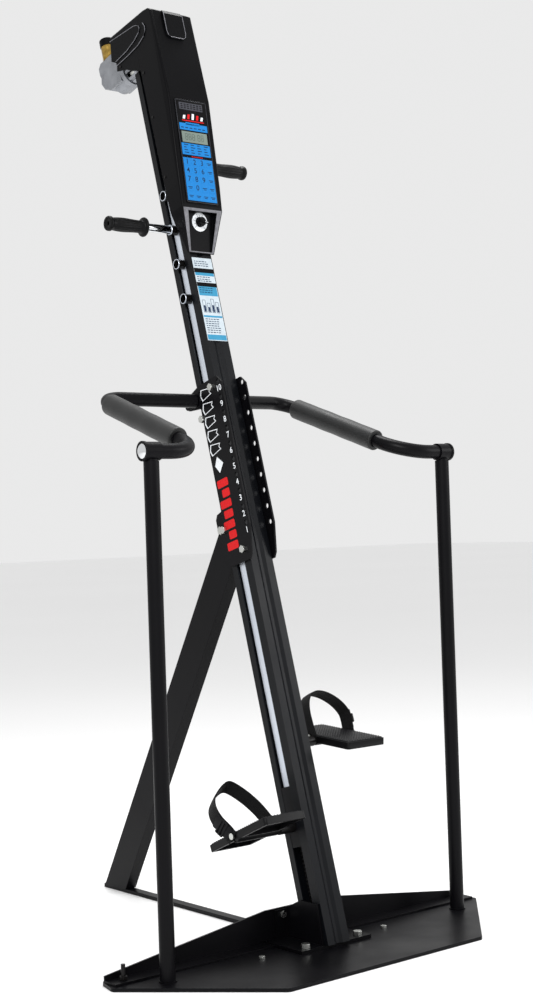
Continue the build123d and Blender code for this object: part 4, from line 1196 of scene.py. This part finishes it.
@dataclass
class PlateMarks:
    """Printed figures beside the plate holes and plain blocks on the plates' faces."""

    holes: int = 10
    pitch: float = 40.7
    top: float = 1401.0
    depth: float = -16.1
    face: float = 40.7

    def build(self) -> None:
        """Print both plates."""
        for side in SIDES:
            name = SIDE_NAMES[side]
            place = MAST @ basis(Vector((side * self.face, 0, 0)) * MM, Vector((0, side, 0)),
                                 Vector((0, 0, 1)), Vector((side, 0, 0)))
            figures = [text_shape(str(self.holes - i), 15.5, side * self.depth,
                                  self.top - i * self.pitch - 18.5, 0, weight=0.25)
                       for i in range(self.holes)]
            outlines = []
            for i in range(5):
                s, d = 1402 - i * 36, 17 + i
                outer = [(d, s - 22), (d + 40, s - 30), (d + 46, s - 16), (d + 40, s), (d, s - 6),
                         (d + 6, s - 14)]
                middle = Vector((d + 23, s - 15, 0))
                inner = [tuple((Vector((*q, 0)) - middle) * 0.84 + middle)[:2] for q in outer]
                outlines += self.loop(outer, inner, side)
            outlines.append(self.stamp([(24, 1201), (44, 1180), (58, 1201), (44, 1222)], side))
            blocks = []
            for i, wide in enumerate((44, 30, 44, 36, 44, 30, 44)):
                s, d = 1163 - i * 26.5, 20 + i * 1.2
                blocks.append(self.stamp(rounded(d, d + wide, s - 20, s, 4), side))
            shell(figures + outlines, f"plate_figures_{name}", place, PRINT_WHITE, "frame")
            shell(blocks, f"plate_blocks_{name}", place, PRINT_RED, "frame")

    @staticmethod
    def stamp(outline: list[tuple[float, float]], side: int) -> bmesh.types.BMesh:
        """Thin printed shape, mirrored on the left plate."""
        mirrored = [(side * x, y) for x, y in outline]
        return slab(mirrored[::side], 0, PRINT_THICK)

    @staticmethod
    def loop(outer: list, inner: list, side: int) -> list[bmesh.types.BMesh]:
        """Flat band between two outlines."""
        bm = bmesh.new()
        rings = []
        for outline in (outer, inner):
            for z in (0.0, PRINT_THICK):
                rings.append([bm.verts.new((side * x * MM, y * MM, z * MM)) for x, y in outline])
        count = len(outer)
        for low, high in ((0, 1), (1, 3), (3, 2), (2, 0)):
            for i in range(count):
                k = (i + 1) % count
                bm.faces.new((rings[low][i], rings[low][k], rings[high][k], rings[high][i]))
        return [bm]


@dataclass
class InfoPlate:
    """Guidance plate on the mast with a blue head and rows of plain marks."""

    half: float = 31.0
    lines: tuple = (1731, 1725, 1719, 1688, 1682, 1677, 1658, 1652, 1646, 1573, 1567, 1561, 1555, 1549, 1543,
                    1537)

    @staticmethod
    def band(half: float, low: float, high: float, radius: float) -> bmesh.types.BMesh:
        """Printed band across the plate, between two heights."""
        return slab(rounded(-half, half, low, high, radius), 0, PRINT_THICK)

    def build(self) -> None:
        """Print the plate."""
        place = MAST @ basis(Vector((0, -0.6, 0)) * MM, Vector((1, 0, 0)), Vector((0, 0, 1)),
                             Vector((0, -1, 0)))
        black = [self.band(self.half, y0, y1, 0.5) for y0, y1 in ((1701, 1713), (1663, 1674))]
        blue = [self.band(self.half - 1.5, y0, y1, 1.0)
                for y0, y1 in ((1693, 1701), (1638, 1663), (1518, 1532), (1579, 1584))]
        rows = []
        for i, y in enumerate(self.lines):
            x = -26.0
            for word in range(5):
                wide = 4.5 + 4.0 * ((i * 3 + word * 5) % 4) / 3
                rows.append(slab(rounded(x, x + wide, y, y + 2.0, 0.5, 2), PRINT_THICK, 0.27))
                x += wide + 2.2
        foot = 1592
        for i, rise in enumerate((34, 26, 38, 30)):
            x, tall = -25 + i * 13.5, foot + rise
            rows += PlateMarks.loop(rounded(x, x + 10, foot, tall, 1),
                                    rounded(x + 1, x + 9, foot + 1, tall - 1, 0.6), 1)
            rows.append(slab(rounded(x + 2, x + 8, foot + 2, foot + 2 + (tall - foot) * 0.5, 0.5, 2), 0,
                             PRINT_THICK))
        shell(black, "info_black_bands", place, PRINT_BLACK, "frame")
        shell(blue, "info_blue_bands", place, LABEL_BLUE, "frame")
        shell(rows, "info_rows", place, INK_NAVY, "frame")


@dataclass
class SocketRims:
    """Bright turned rims on the open ends of the handle sockets."""

    places: tuple = (1930.0, 1835.0, 1740.0, 1645.0)
    right_shift: float = 194.0
    reach: float = 49.5
    bore: float = 11.1
    outer: float = 12.5

    def build(self) -> None:
        """Make the rims of both carriages."""
        for side in SIDES:
            name = SIDE_NAMES[side]
            rims = []
            for s in self.places:
                lift = s + (self.right_shift if side > 0 else 0.0)
                rim = lathe([(self.bore, 0), (self.outer, 0), (self.outer + 0.5, 0.5),
                             (self.outer + 0.5, 2.2), (self.outer, 2.8), (self.bore + 0.7, 2.8),
                             (self.bore, 2.2)], 40)
                middle = Vector((side * (self.reach - 2.4), SLOT_MID / MM, lift)) * MM
                turn = basis(middle, Vector((0, 0, side)), Vector((0, 1, 0)), Vector((side, 0, 0)))
                bmesh.ops.transform(rim, matrix=turn, verts=rim.verts)
                rims.append(rim)
            shell(rims, f"socket_rims_{name}", MAST, DRAWN_STEEL, f"carriage_{name}")


# ------------------------------------------------------------------ carried-over CAD nodes
def soften(name: str, radius: float, segments: int = 2) -> None:
    """Round a CAD node's hard edges with modifiers.

    Args:
        name: the node.
        radius: edge radius in millimetres.
        segments: steps of the rounding.
    """
    obj = frame["nodes"][name]
    weld = obj.modifiers.new("weld", "WELD")
    weld.merge_threshold = 1e-5
    flat = obj.modifiers.new("flat", "DECIMATE")
    flat.decimate_type = "DISSOLVE"
    flat.angle_limit = math.radians(0.6)
    bevel = obj.modifiers.new("edges", "BEVEL")
    bevel.width = radius * MM
    bevel.segments = segments
    bevel.limit_method = "ANGLE"
    bevel.angle_limit = math.radians(40)
    bevel.harden_normals = True


SOFT_EDGES = {"base_plate": 1.5, "base_gusset": 1.0, "mast_foot": 1.2, "rear_bar": 1.5, "rear_strut": 3.0,
              "side_plates": 1.0, "strut_yoke": 1.2, **dict.fromkeys(both("link_bar"), 0.8),
              **dict.fromkeys(both("carriage_block"), 1.0), "frame_bolts": 0.8, "levelling_screws": 0.6,
              **dict.fromkeys(both("pedal_body"), 1.5), "console_panel": 0.6, "keypad": 0.3,
              "head_cover": 2.5, "head_rear_cover": 2.0}


def dress_nodes() -> None:
    """Give every CAD node its finish and soften the ones with hard edges."""
    for finish, names in NODE_FINISH.items():
        for name in names:
            obj = frame["nodes"][name]
            if obj.material_slots:
                for slot in obj.material_slots:
                    slot.material = finish.material()
            else:
                obj.data.materials.append(finish.material())
    for name, radius in SOFT_EDGES.items():
        soften(name, radius)


# ------------------------------------------------------------------ studio
@dataclass
class Studio:
    """Pale floor, soft lights and the camera."""

    lamps: tuple = (("key", (-3.4, -3.4, 3.6), (0, 0, 1.4), 1.4, 150),
                    ("fill", (3.4, -3.2, 2.4), (0, 0, 1.0), 1.8, 60),
                    ("top", (0.8, 0.6, 4.6), (0, 0, 1.2), 1.6, 90))
    eye: tuple = (-2.4844, -3.2394, 1.0032)
    yaw: float = -39.137
    pitch: float = 0.771
    roll: float = -1.898
    lens: float = 58.04

    def floor(self) -> None:
        """Large pale floor."""
        bm = bmesh.new()
        bmesh.ops.create_grid(bm, x_segments=8, y_segments=8, size=40)
        mesh = finish_mesh(bm, "studio_floor", Matrix.Translation((0, 0, -0.0005)))
        obj = bpy.data.objects.new("studio_floor", mesh)
        mesh.materials.append(STUDIO.material())
        bpy.context.scene.collection.objects.link(obj)

    def light(self, name: str, place: tuple, target: tuple, size: float, power: float) -> None:
        """One soft area light aimed at a point."""
        data = bpy.data.lights.new(name, "AREA")
        data.energy, data.size = power, size
        obj = bpy.data.objects.new(name, data)
        obj.location = place
        obj.rotation_euler = (Vector(target) - Vector(place)).to_track_quat("-Z", "Y").to_euler()
        bpy.context.scene.collection.objects.link(obj)

    def world(self) -> None:
        """Even white surroundings."""
        world = bpy.data.worlds.new("studio")
        world.use_nodes = True
        back = world.node_tree.nodes["Background"]
        back.inputs[0].default_value = linear("#ffffff")
        back.inputs[1].default_value = 0.82
        bpy.context.scene.world = world
        bpy.context.scene.view_settings.view_transform = "Standard"

    def camera(self) -> None:
        """Camera at the viewing angle."""
        yaw, pitch, roll = (math.radians(a) for a in (self.yaw, self.pitch, self.roll))
        ahead = Vector((-math.sin(yaw) * math.cos(pitch), math.cos(yaw) * math.cos(pitch), math.sin(pitch)))
        right = Vector((math.cos(yaw), math.sin(yaw), 0))
        up = right.cross(ahead)
        x = right * math.cos(roll) + up * math.sin(roll)
        y = up * math.cos(roll) - right * math.sin(roll)
        data = bpy.data.cameras.new("view")
        data.lens, data.sensor_width, data.sensor_fit = self.lens, 36.0, "AUTO"
        obj = bpy.data.objects.new("view", data)
        obj.matrix_world = basis(Vector(self.eye), x, y, -ahead)
        bpy.context.scene.collection.objects.link(obj)
        bpy.context.scene.camera = obj

    def build(self) -> None:
        """Set the whole studio."""
        self.floor()
        self.world()
        for lamp in self.lamps:
            self.light(*lamp)
        self.camera()


@dataclass
class MouldedEdges:
    """Fine beads along the raised outlines of the head, light grey as a painted highlight on those edges."""

    radius: float = 0.9
    outer: tuple = ((-36, 2382), (-42, 2370), (-41, 2360), (-30, 2347), (1, 2337), (51, 2334), (103, 2334))
    inner: tuple = ((112, 2409), (2, 2393), (-10, 2389), (-20, 2382), (-21, 2375), (-15, 2366), (10, 2355),
                    (49, 2347), (103, 2345))
    tongue: tuple = ((30, 2396), (30, 2340), (27, 2330), (20, 2325), (-20, 2325), (-27, 2330), (-30, 2340),
                     (-30, 2396))
    outer_reach: float = 67.9
    inner_reach: float = 69.9
    tongue_depth: float = -82.4
    corners: int = 8

    def bead(self, points: list[Vector]) -> bmesh.types.BMesh:
        """Round bead along a line.

        Args:
            points: the line, in millimetres.

        Returns:
            The bead, in metres.
        """
        bm = bmesh.new()
        rings = []
        for i, point in enumerate(points):
            along = (points[min(i + 1, len(points) - 1)] - points[max(i - 1, 0)]).normalized()
            side = along.orthogonal().normalized()
            up = along.cross(side)
            rings.append([bm.verts.new((point + (side * math.cos(a) + up * math.sin(a)) * self.radius) * MM)
                          for a in (math.tau * k / self.corners for k in range(self.corners))])
        for before, after in zip(rings, rings[1:]):
            for k in range(self.corners):
                n = (k + 1) % self.corners
                bm.faces.new((before[k], before[n], after[n], after[k]))
        bm.faces.new(rings[0][::-1])
        bm.faces.new(rings[-1])
        bmesh.ops.recalc_face_normals(bm, faces=bm.faces)
        return bm

    def build(self) -> None:
        """Make the beads on both flanks and round the tongue."""
        beads = []
        for side in SIDES:
            for reach, line in ((self.outer_reach, self.outer), (self.inner_reach, self.inner)):
                beads.append(self.bead([Vector((side * reach, d, s)) for d, s in line]))
        beads.append(self.bead([Vector((x, self.tongue_depth, s)) for x, s in self.tongue]))
        # painted highlight: light grey beads stand in for the shine on the head's raised edges and the tongue
        shell(beads, "moulded_edges", MAST, ABS_GREY_RIM_AND_PAINTED_HIGHLIGHT, "frame")


def main() -> None:
    """Build every sub-assembly in order."""
    logging.basicConfig(level=logging.INFO, format="%(message)s")
    repeater = Repeater()
    Studio().build()
    dress_nodes()
    FoamSleeves().build()
    Straps().build()
    Treads().build()
    Grips().build()
    Chain().build(repeater)
    Console().build()
    KnobPocket().build()
    PlateMarks().build()
    InfoPlate().build()
    SocketRims().build()
    MouldedEdges().build()


if __name__ == "__main__":
    main()
